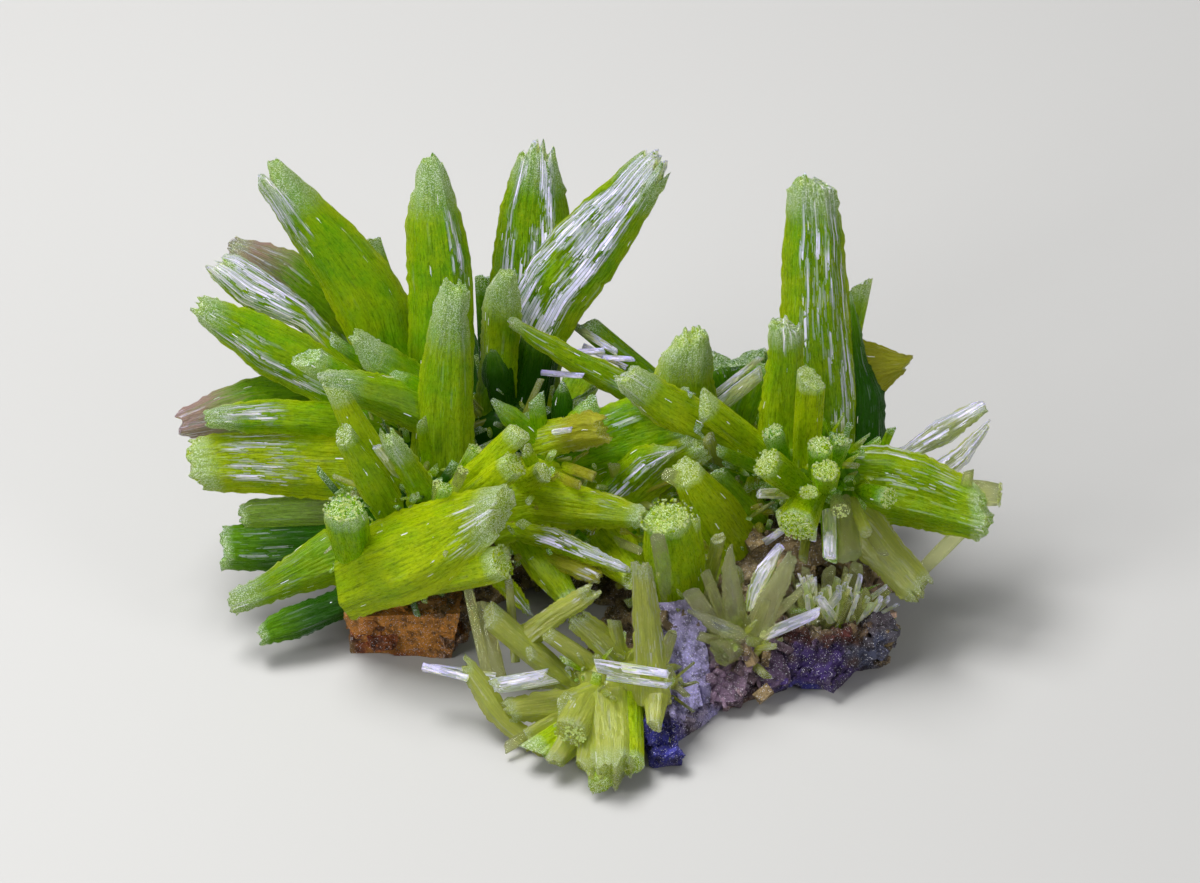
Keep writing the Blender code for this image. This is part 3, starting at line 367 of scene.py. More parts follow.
CENTRE_BLADES = [
    # two broad ones behind, that fill the middle
    (((-4.5, 9.0), (-1.0, 10.8), (2.0, 12.0), (5.2, 12.4)),
     ((-3.5, 6.2), (0.0, 7.0), (3.0, 8.0), (6.4, 9.0)),
     (5.8, 7.8), FLAT_END, 1.6, "green", (0.1, 0.5, 0.3, 0.7, 0.25)),
    (((-1.5, 6.0), (2.0, 9.6), (4.5, 10.8)), ((1.5, 4.2), (4.5, 6.6), (6.6, 8.0)),
     (5.6, 7.6), FLAT_END, 1.5, "yellow", (0.5, 0.9, 0.5, 0.9, 0.2)),
    (((-5.5, 7.3), (-3.1, 6.95), (-1.5, 6.6), (0.5, 6.1), (2.75, 5.2)),
     ((-5.5, 3.2), (-4.0, 4.0), (-1.5, 3.8), (0.5, 3.9), (2.45, 4.0)),
     (6.4, 10.2), FLAT_END, 1.8, "yellow", (0.0, 0.45, 0.65, 0.8, 0.3)),
    (((-4.0, 10.3), (-2.0, 10.6), (-0.6, 11.0), (0.1, 10.6)),
     ((-4.0, 7.6), (-2.4, 8.3), (-1.0, 8.5), (0.3, 8.9)),
     (5.6, 9.2), FLAT_END, 1.6, "brown", (0.0, 1.0, 0.1, 0.8, 0.2)),
    (((-1.2, 5.6), (0.0, 7.0), (1.1, 8.1), (2.2, 8.9), (3.3, 8.95), (4.3, 8.7)),
     ((0.4, 4.6), (1.6, 5.6), (2.6, 6.4), (3.6, 7.4), (4.5, 8.45)),
     (5.2, 8.8), FLAT_END, 1.6, "green", (0.3, 1.0, 0.25, 1.0, 0.8)),
    (((-6.0, 4.4), (-3.8, 4.2), (-2.6, 4.0), (-1.0, 3.2), (0.5, 2.4), (1.3, 1.85)),
     ((-6.0, 2.6), (-4.9, 3.2), (-3.0, 2.6), (-1.0, 1.9), (0.5, 1.5), (1.2, 1.35)),
     (6.8, 11.0), SOFT_END, 1.4, "yellow", (0.0, 0.75, 0.35, 1.0, 0.8)),
    (((-5.0, 3.0), (-3.0, 2.6), (-1.0, 2.0), (0.2, 1.3)),
     ((-5.0, 2.2), (-3.4, 1.9), (-1.8, 1.1), (-0.4, 0.6)),
     (6.6, 10.2), FLAT_END, 0.8, "brown", (0.2, 1.0, 0.8, 1.0, 0.6)),
    (((-6.2, 2.5), (-5.4, 1.1), (-4.7, 0.4), (-4.0, -0.9)),
     ((-7.4, 1.6), (-6.4, 0.5), (-5.4, -0.4), (-4.3, -1.2)),
     (6.8, 10.4), FLAT_END, 1.1, "yellow", (0.2, 0.8, 0.5, 1.0, 0.7)),
]
RIGHT_BLADES = [
    # the tall column, the strip at its right and its short neighbour
    (((10.4, 8.0), (10.5, 12.0), (10.6, 16.8), (10.72, 18.0), (10.75, 20.5), (10.95, 22.0),
      (11.05, 24.4)),
     ((15.8, 8.0), (15.6, 12.0), (15.2, 15.0), (14.9, 17.0), (14.7, 19.5), (14.6, 21.3),
      (14.3, 22.8), (14.1, 24.0)),
     (4.0, 8.2), ((0, 0), (0.12, 0.1), (0.33, 0.5), (0.5, 0.48), (0.7, 0.25), (0.85, 0.25),
                  (1, 0)), 2.7, "granular", (0.3, 0.95, 0.1, 1.0, 0.5)),
    (((14.6, 8.0), (15.0, 12.0), (14.9, 16.0), (14.85, 17.8)),
     ((17.1, 9.0), (17.0, 12.0), (15.9, 14.0), (15.5, 16.0), (15.0, 17.8)),
     (4.0, 6.6), FLAT_END, 1.6, "deep", (0.0, 1.0, 0.0, 1.0, 0.1)),
    (((9.3, 8.0), (9.4, 11.0), (9.9, 14.0), (9.9, 15.9)),
     ((12.2, 8.0), (12.1, 12.0), (12.1, 15.6), (11.95, 16.0)),
     (5.8, 10.0), ((0, 0), (0.2, 0.3), (0.4, 0.4), (0.7, 0.1), (1, 0)), 2.0, "white top",
     (0.3, 1.0, 0.85, 1.0, 0.5)),
    # the brown one behind, and the two split ones at the far right
    (((13.4, 11.5), (15.3, 15.4), (17.0, 14.8), (18.5, 14.1)),
     ((13.4, 8.5), (16.5, 11.5), (17.4, 12.4), (18.3, 13.3)),
     (3.0, 3.6), FLAT_END, 1.7, "brown", (0.0, 0.4, 0.5, 1.0, 0.1)),
    (((14.6, 7.0), (18.2, 8.9), (20.0, 10.4), (21.5, 11.1), (22.6, 11.65)),
     ((14.8, 5.4), (18.6, 8.0), (20.8, 8.9), (23.25, 10.9)),
     (3.6, 4.4), FLAT_END, 1.2, "silver", (0.15, 0.85, 0.45, 1.0, 0.95)),
    (((14.8, 5.8), (19.5, 7.6), (21.4, 8.9), (23.0, 10.3)),
     ((15.4, 4.4), (20.2, 6.4), (21.9, 7.7), (23.3, 9.95)),
     (4.0, 4.8), FLAT_END, 1.0, "silver", (0.1, 0.7, 0.45, 1.0, 0.95)),
    # the heavy blade, and the pale one that hangs below it
    (((13.0, 9.3), (15.0, 9.0), (17.4, 8.9), (19.5, 8.3), (21.3, 7.4), (22.2, 6.8)),
     ((13.6, 4.6), (16.0, 4.3), (18.0, 4.0), (20.0, 3.6), (22.6, 3.1)),
     (5.0, 7.6), ((0, 0), (0.2, 0.5), (0.5, 0.75), (0.65, 0.75), (0.85, 0.4), (1, 0)), 2.4,
     "fibrous", (0.0, 0.5, 0.1, 0.9, 0.35)),
    (((15.5, 6.3), (17.0, 4.7), (18.0, 3.2), (19.4, 1.6), (19.7, 0.9)),
     ((13.5, 3.5), (15.0, 2.4), (16.5, 1.1), (17.8, -0.3), (18.5, -0.5)),
     (5.8, 8.2), FLAT_END, 1.7, "straw", (0.0, 1.0, 0.0, 1.0, 0.15)),
    # the long ones that lean to the left, and the rounded one behind the middle
    (((10.0, 6.6), (7.0, 8.0), (4.5, 9.2), (2.4, 10.8), (1.05, 12.2)),
     ((10.6, 8.8), (8.0, 10.6), (5.5, 11.9), (3.6, 12.9), (2.5, 13.5)),
     (5.2, 9.4), SOFT_END, 2.1, "white top", (0.0, 1.0, 0.88, 1.0, 0.4)),
    (((8.0, 8.6), (3.0, 10.5), (0.0, 12.2), (-2.0, 13.4), (-4.0, 14.7), (-5.5, 16.0)),
     ((8.5, 11.0), (4.0, 12.2), (1.2, 13.5), (-1.0, 14.5), (-2.6, 15.3), (-4.0, 15.9),
      (-5.2, 16.5)),
     (3.2, 7.2), FLAT_END, 1.6, "fibrous", (0.2, 0.9, 0.3, 1.0, 0.3)),
    (((4.2, 8.0), (3.4, 11.0), (3.1, 13.0), (3.5, 14.1), (4.25, 15.0)),
     ((8.2, 8.0), (7.3, 10.8), (6.85, 12.5), (6.8, 14.0), (6.5, 15.3)),
     (2.8, 6.7), ((0, 0), (0.15, 0.3), (0.35, 0.5), (0.5, 0.42), (0.7, 0.5), (0.92, 0.3), (1, 0)),
     2.8, "pale tip", (0.0, 1.0, 0.9, 1.0, 0.1)),
]
LOWER_BLADES = [
    (((-3.4, -9.6), (-4.6, -9.0), (-5.6, -8.3), (-6.8, -7.2), (-7.6, -5.8), (-8.0, -4.9)),
     ((-2.2, -8.0), (-3.8, -8.1), (-5.2, -7.0), (-6.2, -5.3), (-7.4, -3.9), (-7.9, -3.5)),
     (12.2, 11.6), FLAT_END, 1.1, "straw", (0.0, 1.0, 0.0, 1.0, 0.1)),
    (((1.0, -7.2), (-1.0, -7.2), (-3.0, -7.5), (-5.2, -7.5)),
     ((1.0, -5.0), (-1.0, -5.3), (-3.0, -5.6), (-5.9, -6.1)),
     (11.0, 12.4), FLAT_END, 1.4, "straw", (0.3, 0.7, 0.3, 0.9, 0.2)),
    (((-5.6, -2.6), (-4.6, -1.7), (-3.0, -0.6), (-1.0, 0.6)),
     ((-4.2, -3.8), (-3.8, -3.1), (-2.0, -1.5), (-0.7, -0.7), (0.05, 0.05)),
     (11.0, 13.8), FLAT_END, 1.4, "straw", (0.2, 0.8, 0.8, 1.0, 0.6)),
    (((1.6, -5.6), (0.2, -4.0), (-0.9, -2.9), (-2.0, -1.8)),
     ((3.0, -4.2), (1.9, -3.3), (0.6, -1.9), (-0.9, -0.85)),
     (11.0, 12.4), FLAT_END, 1.4, "straw", (0.2, 0.55, 0.3, 1.0, 0.35)),
    (((1.9, -6.4), (1.95, -3.5), (1.9, -1.0), (1.85, 1.9)),
     ((4.3, -6.4), (3.9, -3.5), (3.6, -1.0), (3.1, 1.6)),
     (12.6, 15.0), FLAT_END, 1.3, "straw", (0.0, 1.0, 0.3, 1.0, 0.35)),
    (((2.2, -5.0), (2.3, -8.5), (2.2, -10.0)),
     ((-1.4, -5.0), (-1.3, -8.0), (-1.0, -10.0)),
     (10.6, 15.4), ((0, -0.6), (0.12, 0.5), (0.24, 0.2), (0.42, 0.9), (0.56, 0.45), (0.72, 0.8),
                   (0.86, 0.3), (1, -0.8)), 2.6, "straw",
     (0.0, 1.0, 0.5, 1.0, 0.12)),
]
FAN_BLADES = [
    (((7.2, -2.6), (7.2, 0.0), (7.2, 1.6), (7.5, 2.6)),
     ((8.9, -2.6), (8.8, -1.2), (8.2, 1.2), (7.8, 2.8)),
     (8.6, 11.4), FLAT_END, 0.9, "clear", (0.0, 1.0, 0.3, 1.0, 0.25)),
    (((8.6, -0.9), (8.7, 0.4), (9.2, 1.6), (9.9, 2.3), (10.6, 2.8)),
     ((9.1, -0.9), (9.9, 0.5), (10.5, 1.8), (10.75, 2.8)),
     (9.4, 11.4), FLAT_END, 0.6, "silver", (0.0, 1.0, 0.0, 1.0, 1.0)),
    (((8.2, -2.6), (9.3, -0.2), (10.2, 1.2), (11.0, 2.45)),
     ((10.0, -2.9), (10.7, -0.6), (11.3, 0.8), (11.7, 2.2)),
     (8.8, 12.2), FLAT_END, 1.1, "clear", (0.0, 1.0, 0.4, 1.0, 0.2)),
    (((9.6, -3.4), (8.0, -2.9), (6.5, -2.1), (5.4, -1.1)),
     ((9.9, -2.7), (8.5, -2.0), (7.0, -1.3), (5.5, -0.8)),
     (9.0, 11.8), FLAT_END, 0.7, "clear", (0.0, 1.0, 0.3, 1.0, 0.7)),
]
print("blades at the left and at the right", len(LEFT_BLADES), len(RIGHT_BLADES))

# %% [markdown]
# ## Working as by hand
# Every operator acts on what is selected, so each step first clears the selection and then picks
# its object, or all of its mesh. These few helpers keep that short.

# %% Helpers for modelling


def begin():
    """Out of edit mode, with nothing selected."""
    if bpy.context.object and bpy.context.object.mode != "OBJECT":
        bpy.ops.object.mode_set(mode="OBJECT")
    bpy.ops.object.select_all(action="DESELECT")


def pick(obj):
    """Selects one object and makes it the active one."""
    begin()
    obj.select_set(True)
    bpy.context.view_layer.objects.active = obj


def apply_modifier(obj, kind, **settings):
    pick(obj)
    modifier = obj.modifiers.new(kind.title(), kind)
    for key, value in settings.items():
        setattr(modifier, key, value)
    bpy.ops.object.modifier_apply(modifier=modifier.name)


def edit_all():
    """Edit mode on the picked object, with all of its mesh selected."""
    bpy.ops.object.mode_set(mode="EDIT")
    bpy.ops.mesh.select_all(action="SELECT")


def end_edit():
    bpy.ops.object.mode_set(mode="OBJECT")


def add_to_scene(obj):
    bpy.context.scene.collection.objects.link(obj)


# %% [markdown]
# ## One crystal form at a time
# A real blade is a bundle of parallel threads, so its six sides are ribbed from root to tip and its
# outline swells and narrows slowly. It could be sculpted, but a hexagon that is subdivided,
# softened, ribbed by a little randomness and drawn out ring by ring gives straight ribs at once.
# Each form is made once, one unit long and one wide, and copied later.

# %% The forms
# How each form swells along its length: (share of the length from the root, share of the width).
FORMS = {
    "blade": ((0.0, 1.00), (1.0, 1.00)),
    "spindle": ((0.0, 0.60), (0.50, 1.00), (1.0, 0.50)),
    "taper": ((0.0, 0.95), (0.45, 1.00), (1.0, 0.58)),
    "column": ((0.0, 0.85), (0.5, 0.95), (1.0, 0.95)),
    "flare": ((0.0, 0.60), (0.6, 0.86), (1.0, 1.00)),
    "barrel": ((0.0, 0.62), (0.55, 1.00), (1.0, 0.66)),
    "point": ((0.0, 0.80), (0.70, 1.00), (1.0, 0.30)),
    "knob": ((0.0, 0.75), (0.86, 1.00), (1.0, 0.86)),
    "stump": ((0.0, 1.00), (0.6, 1.00), (1.0, 0.78)),
    "lath": ((0.0, 0.90), (0.5, 0.90), (1.0, 0.80)),
}
RIB_DEPTH = 0.016  # how far a rib stands out, as a share of the width
BLADE_RIB_DEPTH = 0.012
CAP_RINGS = (0.88, 0.68, 0.42, 0.20)  # the rings that close an end, as shares of the width
BLADE_RINGS = 42


def swell(form, t):
    """The form's width at t along its length, smoothed between its stations."""
    stations = FORMS[form]
    for (t0, s0), (t1, s1) in zip(stations, stations[1:]):
        if t <= t1:
            k = (t - t0) / (t1 - t0)
            smooth = k * k * (3 - 2 * k)
            return s0 + (s1 - s0) * (0.5 * smooth + 0.5 * k)
    return stations[-1][1]


def draw_form(form, cuts, rings, seed, soften=2, ribs=RIB_DEPTH, caps=CAP_RINGS):
    """A unit crystal: a ribbed hexagon drawn out along z and closed with an end of small rings."""
    begin()
    bpy.ops.mesh.primitive_circle_add(vertices=6, radius=0.5, fill_type="NOTHING")
    obj = bpy.context.object
    obj.name = f"form_{form}_{cuts}_{seed}"
    edit_all()
    bpy.ops.transform.rotate(value=math.radians(30), orient_axis="Z", center_override=(0, 0, 0))
    bpy.ops.mesh.subdivide(number_cuts=cuts)
    bpy.ops.mesh.vertices_smooth(factor=0.5, repeat=soften)
    bpy.ops.transform.vertex_random(offset=ribs, uniform=0.0, normal=0.0, seed=seed)
    bpy.ops.transform.resize(value=(1, 1, 0), center_override=(0, 0, 0))
    bpy.ops.mesh.edge_face_add()
    before = swell(form, 0)
    bpy.ops.transform.resize(value=(before, before, 1), center_override=(0, 0, 0))
    for i in range(1, rings + 1):
        now = swell(form, i / rings)
        step = now / before
        bpy.ops.mesh.extrude_region_move(TRANSFORM_OT_translate={"value": (0, 0, 1 / rings)})
        bpy.ops.transform.resize(value=(step, step, 1), center_override=(0, 0, 0))
        before = now
    inner = 1.0
    for share in caps:
        bpy.ops.mesh.extrude_region_move(TRANSFORM_OT_translate={"value": (0, 0, 0)})
        bpy.ops.transform.resize(value=(share / inner, share / inner, 1), center_override=(0, 0, 0))
        inner = share
    bpy.ops.mesh.poke()
    bpy.ops.mesh.select_all(action="SELECT")
    bpy.ops.mesh.normals_make_consistent(inside=False)
    end_edit()
    obj.hide_render = True
    return obj


# Wide crystals are copied from the fine forms, narrow ones from the coarse forms, and the small
# ones of the crust from the stubs. Only the broad blades use the form "blade".
PLAIN_FORMS = [form for form in FORMS if form != "blade"]
FINE = {form: [draw_form(form, 9, 16, 3 + 10 * i) for i in range(2)] for form in PLAIN_FORMS}
FINE["blade"] = [draw_form("blade", 8, BLADE_RINGS, 40 + i, soften=1, ribs=BLADE_RIB_DEPTH)
                 for i in range(3)]
COARSE = {form: [draw_form(form, 4, 7, 5, soften=1)] for form in PLAIN_FORMS}
STUBS = [draw_form(form, 1, 2, 8, soften=0, caps=(0.6,))
         for form in ("knob", "point", "lath", "column")]
print("faces in a blade", len(FINE["blade"][0].data.polygons), "and in a stub",
      len(STUBS[0].data.polygons))

# %% [markdown]
# ## Marks that the material reads
# Three colour attributes describe each crystal: `along` holds how far along it a point is, how
# close to an edge, whether it is on the end, and a random number; `look` holds how silky (how much
# painted sheen of white streaks it has), how yellow, how pale and how brown it is; `ends` holds how
# pale the tip is and how white the whole crystal is. A UV map in millimetres, round the crystal and
# along it, carries the streaks of painted sheen. The crystals could each have a material instead,
# but one that reads marks serves hundreds of them.

# %% The looks
# How silky (how much painted sheen of white streaks), yellow, pale and brown each look is, the share
# of its length that is a pale tip, and how far apart, in millimetres, the threads break off at its
# end.
Look = namedtuple("Look", "silky yellow pale brown pale_tip end_step")
LOOKS = {
    "green": (0.03, 0.20, 0.0, 0.0, 0.16, 0.25),
    # deep: the green darkened, painted shade on crystals that sit in shade behind and below others
    "deep": (0.02, -2.40, 0.0, 0.0, 0.06, 0.3),
    "dull": (0.06, -1.20, 0.05, 0.15, 0.05, 0.4),
    "yellow": (0.04, 0.85, 0.04, 0.0, 0.10, 0.35),
    "fan": (0.03, 0.85, 0.0, 0.0, 0.14, 0.35),
    "fibrous": (0.08, 0.55, 0.05, 0.0, 0.06, 0.3),
    "streaked": (0.06, 0.25, 0.05, 0.0, 0.14, 0.5),
    "granular": (0.06, 0.30, 0.05, 0.0, 0.12, 0.35),
    "pale tip": (0.04, 0.40, 0.06, 0.0, 0.28, 0.45),
    "white top": (0.04, 0.50, 0.04, 0.0, 0.14, 0.3),
    "white tip": (0.06, 0.20, 0.1, 0.0, 0.22, 0.25),
    "silky": (0.06, 0.20, 0.05, 0.0, 0.12, 0.65),
    "silver": (1.00, 0.40, 0.4, 0.25, 0.10, 0.3),
    "mauve": (0.10, 0.10, 0.05, 0.9, 0.10, 0.35),
    "dark mauve": (0.05, -0.50, 0.05, 1.0, 0.0, 0.35),
    "brown": (0.06, 0.95, 0.15, 0.45, 0.0, 0.4),
    "straw": (0.12, 1.00, 0.62, 0.0, 0.10, 0.4),
    "pale": (0.12, 0.80, 0.80, 0.0, 0.10, 0.4),
    "clear": (0.14, 0.90, 0.90, 0.0, 0.10, 0.3),
    "white": (2.00, 0.40, 0.7, 0.0, 0.20, 0.4),
    "grain": (0.05, 0.50, 0.55, 0.0, 0.9, 0.2),
}
LOOKS = {name: Look(*values) for name, values in LOOKS.items()}
# How white a look is all over, where it is white at all.
WHITE = {"grain": 0.12, "white": 0.34, "silver": 0.16, "pale": 0.20, "clear": 0.45}
# Each look is made of one of three materials. Their nodes come further down.
GREEN_MATTER, STRAW_MATTER, CLEAR_MATTER = (
    "pyromorphite", "straw pyromorphite", "clear pyromorphite")
MATTER = {name: bpy.data.materials.new(name)
          for name in (GREEN_MATTER, STRAW_MATTER, CLEAR_MATTER)}
MATTER_OF = {"clear": CLEAR_MATTER, "pale": CLEAR_MATTER, "straw": STRAW_MATTER}
print(len(LOOKS), "looks of", len(MATTER), "materials")

# %% [markdown]
# A mesh's points are read and written as one array, which is far quicker than point by point. The
# marks are then worked out for all of them at once.

# %% Reading and marking a mesh
END = 0.97  # the share of the length beyond which a point counts as the end
WAY_ROUND = 3  # the way round a crystal, in widths
SPREAD = 400  # mm: how far apart the crystals' streaks are read on the UV map
SIDE_BLUR = 0.05  # how softly the silk begins and ends across, at its foot and at its top
FOOT_BLUR = 0.12
TOP_BLUR = 0.08


def soft_step(low, high, x):
    """0 below low, 1 above high, and a smooth way between."""
    k = np.clip((x - low) / (high - low), 0, 1)
    return k * k * (3 - 2 * k)


def read_places(obj):
    """The places of the mesh's points, one row each."""
    co = np.empty(len(obj.data.vertices) * 3, np.float32)
    obj.data.vertices.foreach_get("co", co)
    return co.reshape(-1, 3).astype(np.float64)


def write_places(obj, co):
    obj.data.vertices.foreach_set("co", co.astype(np.float32).ravel())
    obj.data.update()


def mark_grain(obj, unit, length_mm, width_mm, look, silk, rng):
    """Writes the attributes and the UV map; unit holds the places on the unit crystal."""
    mesh = obj.data
    mesh.materials.clear()
    mesh.materials.append(MATTER[MATTER_OF.get(look, GREEN_MATTER)])
    count = len(mesh.vertices)
    along = np.clip(unit[:, 2], 0, 1)
    reach = np.hypot(unit[:, 0], unit[:, 1]) * 2
    sideways = np.clip(np.abs(unit[:, 0]) * 2, 0, 1)
    end = np.clip((1 - reach) * 3, 0, 1) * (along > 0.99)
    silky, yellow, pale, brown, pale_tip, _ = LOOKS[look]
    silkiness = np.full(count, silky)
    if silk:
        across0, across1, along0, along1, amount = silk
        share = unit[:, 0] + 0.5
        inside = soft_step(across0 - SIDE_BLUR, across0 + SIDE_BLUR, share)
        inside *= 1 - soft_step(across1 - SIDE_BLUR, across1 + SIDE_BLUR, share)
        inside *= soft_step(along0 - FOOT_BLUR, along0 + FOOT_BLUR, along)
        inside *= 1 - soft_step(along1 - TOP_BLUR, along1 + TOP_BLUR, along) * (along1 < 1)
        silkiness = np.maximum(silkiness, inside * amount)
    none = along * 0
    tip = soft_step(1 - pale_tip * 1.25, 1 - pale_tip * 0.25, along) if pale_tip else none
    mark = rng.random()
    for name, values in (
        ("along", (along, sideways, end, np.full(count, mark))),
        ("look", (silkiness, np.full(count, yellow), np.full(count, pale), np.full(count, brown))),
        ("ends", (tip, np.full(count, WHITE.get(look, 0.0)), none, none)),
    ):
        layer = mesh.color_attributes.new(name, "FLOAT_COLOR", "POINT")
        layer.data.foreach_set("color", np.stack(values, 1).astype(np.float32).ravel())

    # The UV map. The seam of each face is on the face's own side, so that no face spans the map.
    corner = np.empty(len(mesh.loops), np.int32)
    mesh.loops.foreach_get("vertex_index", corner)
    total = np.empty(len(mesh.polygons), np.int32)
    mesh.polygons.foreach_get("loop_total", total)
    start = np.concatenate([[0], np.cumsum(total)[:-1]])
    face = np.repeat(np.arange(len(total)), total)
    turn = np.arctan2(unit[:, 1], unit[:, 0])
    first = turn[corner[start]][face]
    wrapped = (turn[corner] - first + math.pi) % (2 * math.pi) - math.pi + first
    u = wrapped / (2 * math.pi) * width_mm * WAY_ROUND + rng.uniform(0, SPREAD)
    v = along[corner] * length_mm + rng.uniform(0, SPREAD)
    uv = mesh.uv_layers.new(name="grain")
    uv.data.foreach_set("uv", np.stack([u, v], 1).astype(np.float32).ravel())


# %% [markdown]
# ## Copies in their places
# A plain crystal is a copy of a form, scaled to its real size. Three Displace modifiers ridge its
# sides, break its end off in threads and make the end grainy, which no plain prism would show. It
# is then stood on its root, broad side to the viewer.

# %% Patterns for the relief


def cell_pattern(name, size):
    pattern = bpy.data.textures.new(name, "VORONOI")
    pattern.noise_scale = size
    pattern.color_mode = "POSITION"
    return pattern


LATHS = cell_pattern("laths", 0.42)
THREADS = cell_pattern("threads", 0.36)
GRAINS = bpy.data.textures.new("grains", "CLOUDS")
GRAINS.noise_scale = 0.16
GRAINS.noise_depth = 2

guide = bpy.data.objects.new("pattern_guide", None)
add_to_scene(guide)


def set_guide(offset, stretch):
    """The patterns are read in millimetres, with the length pressed together by the stretch."""
    guide.matrix_world = Matrix.Translation(offset) @ Matrix.Diagonal((MM, MM, MM * stretch, 1))
    bpy.context.view_layer.update()


def displace(obj, texture, strength_mm, level=0.5, offset=(0, 0, 0), stretch=1, **settings):
    """Moves the points by a pattern that is read in millimetres."""
    set_guide(offset, stretch)
    apply_modifier(obj, "DISPLACE", texture=texture, texture_coords="OBJECT",
                   texture_coords_object=guide, mid_level=level, strength=strength_mm * MM,
                   **settings)


# %% [markdown]
# The sizes below come from the look of the photo: crystals a little flatter than they are wide,
# laths much flatter, and ends that break off unevenly.

# %% One plain crystal
FLATNESS = 0.76  # the depth of a crystal as a share of its width
LATH_FLATNESS = 0.42
BIG_ENOUGH = 1.4  # mm: wider crystals are copied from the fine forms
WIDENING = 1.06  # the dressed crystals are a little wider than the solids
RIDGE_STRETCH = 9  # how much longer than wide the ridges and the threads are
THREAD_STRETCH = 1000
END_GRAIN = 0.14  # mm
ROUND_FORMS = ("knob", "stump")  # their ends stay level and are covered in grains


def own_copy(model):
    obj = model.copy()
    obj.data = model.data.copy()
    obj.hide_render = False
    add_to_scene(obj)
    return obj


def stand(tip, root, roll):
    """The matrix that stands a crystal on its root, its broad side to the viewer."""
    start = seen(*root)
    axis = (seen(*tip) - start).normalized()
    across = axis.cross(TO_VIEWER.normalized())
    if across.length < 0.2:
        across = Vector((1, 0, 0)) - axis * axis.x
    across.normalize()
    deep = axis.cross(across)
    turn = Matrix((across, deep, axis)).transposed().to_4x4()
    return Matrix.Translation(start) @ turn @ Matrix.Rotation(roll, 4, "Z")


def tilt_end(co, unit, rng, most=0.9):
    """Breaks the end off at a slant, so that no two ends are alike."""
    last = unit[:, 2] > END
    co[last, 2] += co[last, 0] * rng.uniform(-most, most) + co[last, 1] * rng.uniform(-most, most)


def place_crystal(spec, seed):
    """One crystal of the table, as its own mesh in its place."""
    tip, root, width_mm, form, look = spec
    rng = random.Random(seed)
    length = (seen(*tip) - seen(*root)).length
    width = width_mm * MM * WIDENING
    flatness = LATH_FLATNESS if form == "lath" else FLATNESS
    model = rng.choice(FINE[form] if width_mm >= BIG_ENOUGH else COARSE[form])
    obj = own_copy(model)
    unit = read_places(obj)
    obj.data.transform(Matrix.Diagonal((width, width * flatness, length, 1)))

    offset = Vector([rng.uniform(0, 0.4) for _ in range(3)])
    end_group = obj.vertex_groups.new(name="end")
    end_group.add([int(i) for i in np.nonzero(unit[:, 2] > END)[0]], 1.0, "REPLACE")
    displace(obj, LATHS, min(0.09, 0.03 * width_mm + 0.02), offset=offset, stretch=RIDGE_STRETCH)
    displace(obj, THREADS, LOOKS[look].end_step * min(1.3, width_mm * 0.45), 0.8, offset,
             THREAD_STRETCH, direction="Z", vertex_group="end")
    displace(obj, GRAINS, END_GRAIN, offset=offset, vertex_group="end")
    obj.vertex_groups.clear()
    if form not in ROUND_FORMS:
        co = read_places(obj)
        tilt_end(co, unit, rng)
        write_places(obj, co)
    mark_grain(obj, unit, length / MM, width_mm, look, None, rng)
    obj.data.transform(stand(tip, root, math.radians(rng.uniform(-10, 10))))
    return obj


# %% [markdown]
# The rounded ends of the short crystals are covered in grains, most of them round the rim. They
# catch the light one by one, so they are real small bodies and not a bump in the material.

# %% Grains on the ends
begin()
bpy.ops.mesh.primitive_ico_sphere_add(subdivisions=1, radius=0.5)
GRAIN = bpy.context.object
GRAIN.hide_render = True


def grains_on(spec, seed):
    """The grains on the end of one crystal of the table."""
    tip, root, width_mm, _, look = spec
    rng = random.Random(seed)
    frame_at_root = stand(tip, root, 0)
    length = (seen(*tip) - seen(*root)).length
    made = []
    for i in range(int(20 + 60 * width_mm)):
        turn = rng.uniform(0, 2 * math.pi)
        reach = rng.choice((0.47, 0.44, 0.36, 0.25, 0.12)) * width_mm * MM
        size = rng.uniform(0.08, 0.20) * MM * min(1.2, 0.6 + width_mm * 0.25)
        place = Vector((reach * math.cos(turn), reach * math.sin(turn) * FLATNESS,
                        length + rng.uniform(-0.08, 0.05) * MM))
        grain = own_copy(GRAIN)
        grain_look = rng.choice(("grain", "grain", look))
        mark_grain(grain, read_places(grain), 0.3, 0.3, grain_look, None, rng)
        grain.data.transform(frame_at_root @ Matrix.Translation(place)
                             @ Matrix.Diagonal((size, size, size * 0.5, 1)))
        made.append(grain)
    return made


# %% [markdown]
# A broad blade starts as the same ribbed prism. Its rings are then moved so that each one spans the
# blade from its left edge to its right edge, as one would with a lattice. The end follows the
# height given across the blade, thread by thread, and the long edges are a little uneven.

# %% One broad blade
THREAD_WIDTH = 0.20  # mm
END_START = 0.86  # the share of the length from which the rings rise towards the end's height
EDGE_WOBBLE = 0.045  # mm: how uneven the long edges are
EDGE_POWER = 6  # the higher, the closer to the edges the unevenness stays
THIN_PART = 0.35  # the share of the thickness that a narrow part of the blade keeps
BLADE_GRAIN = 0.12  # mm: how grainy the end is
GRAINS_PER_MM = 5


def point_along(edge, shares):
    """Points on a polyline at shares of its length."""
    points = np.array(edge, float)
    steps = np.hypot(*np.diff(points, axis=0).T)
    run = np.concatenate([[0], np.cumsum(steps)]) / steps.sum()
    return np.stack([np.interp(shares, run, points[:, i]) for i in range(2)], 1)


def seen_all(u, v, w):
    """As seen, for many places at once."""
    tilt = np.array([math.sin(VIEW_TILT), math.cos(VIEW_TILT)])
    return np.stack([u, v * tilt[0] - w * tilt[1], v * tilt[1] + w * tilt[0]], 1) * MM


def middle_at(left, right, i, w):
    """The middle of the blade at its first or last place, in the model's frame."""
    u, v = (np.array(left[i]) + right[i]) / 2
    return seen_all(*[np.array([x]) for x in (u, v, w)])[0]


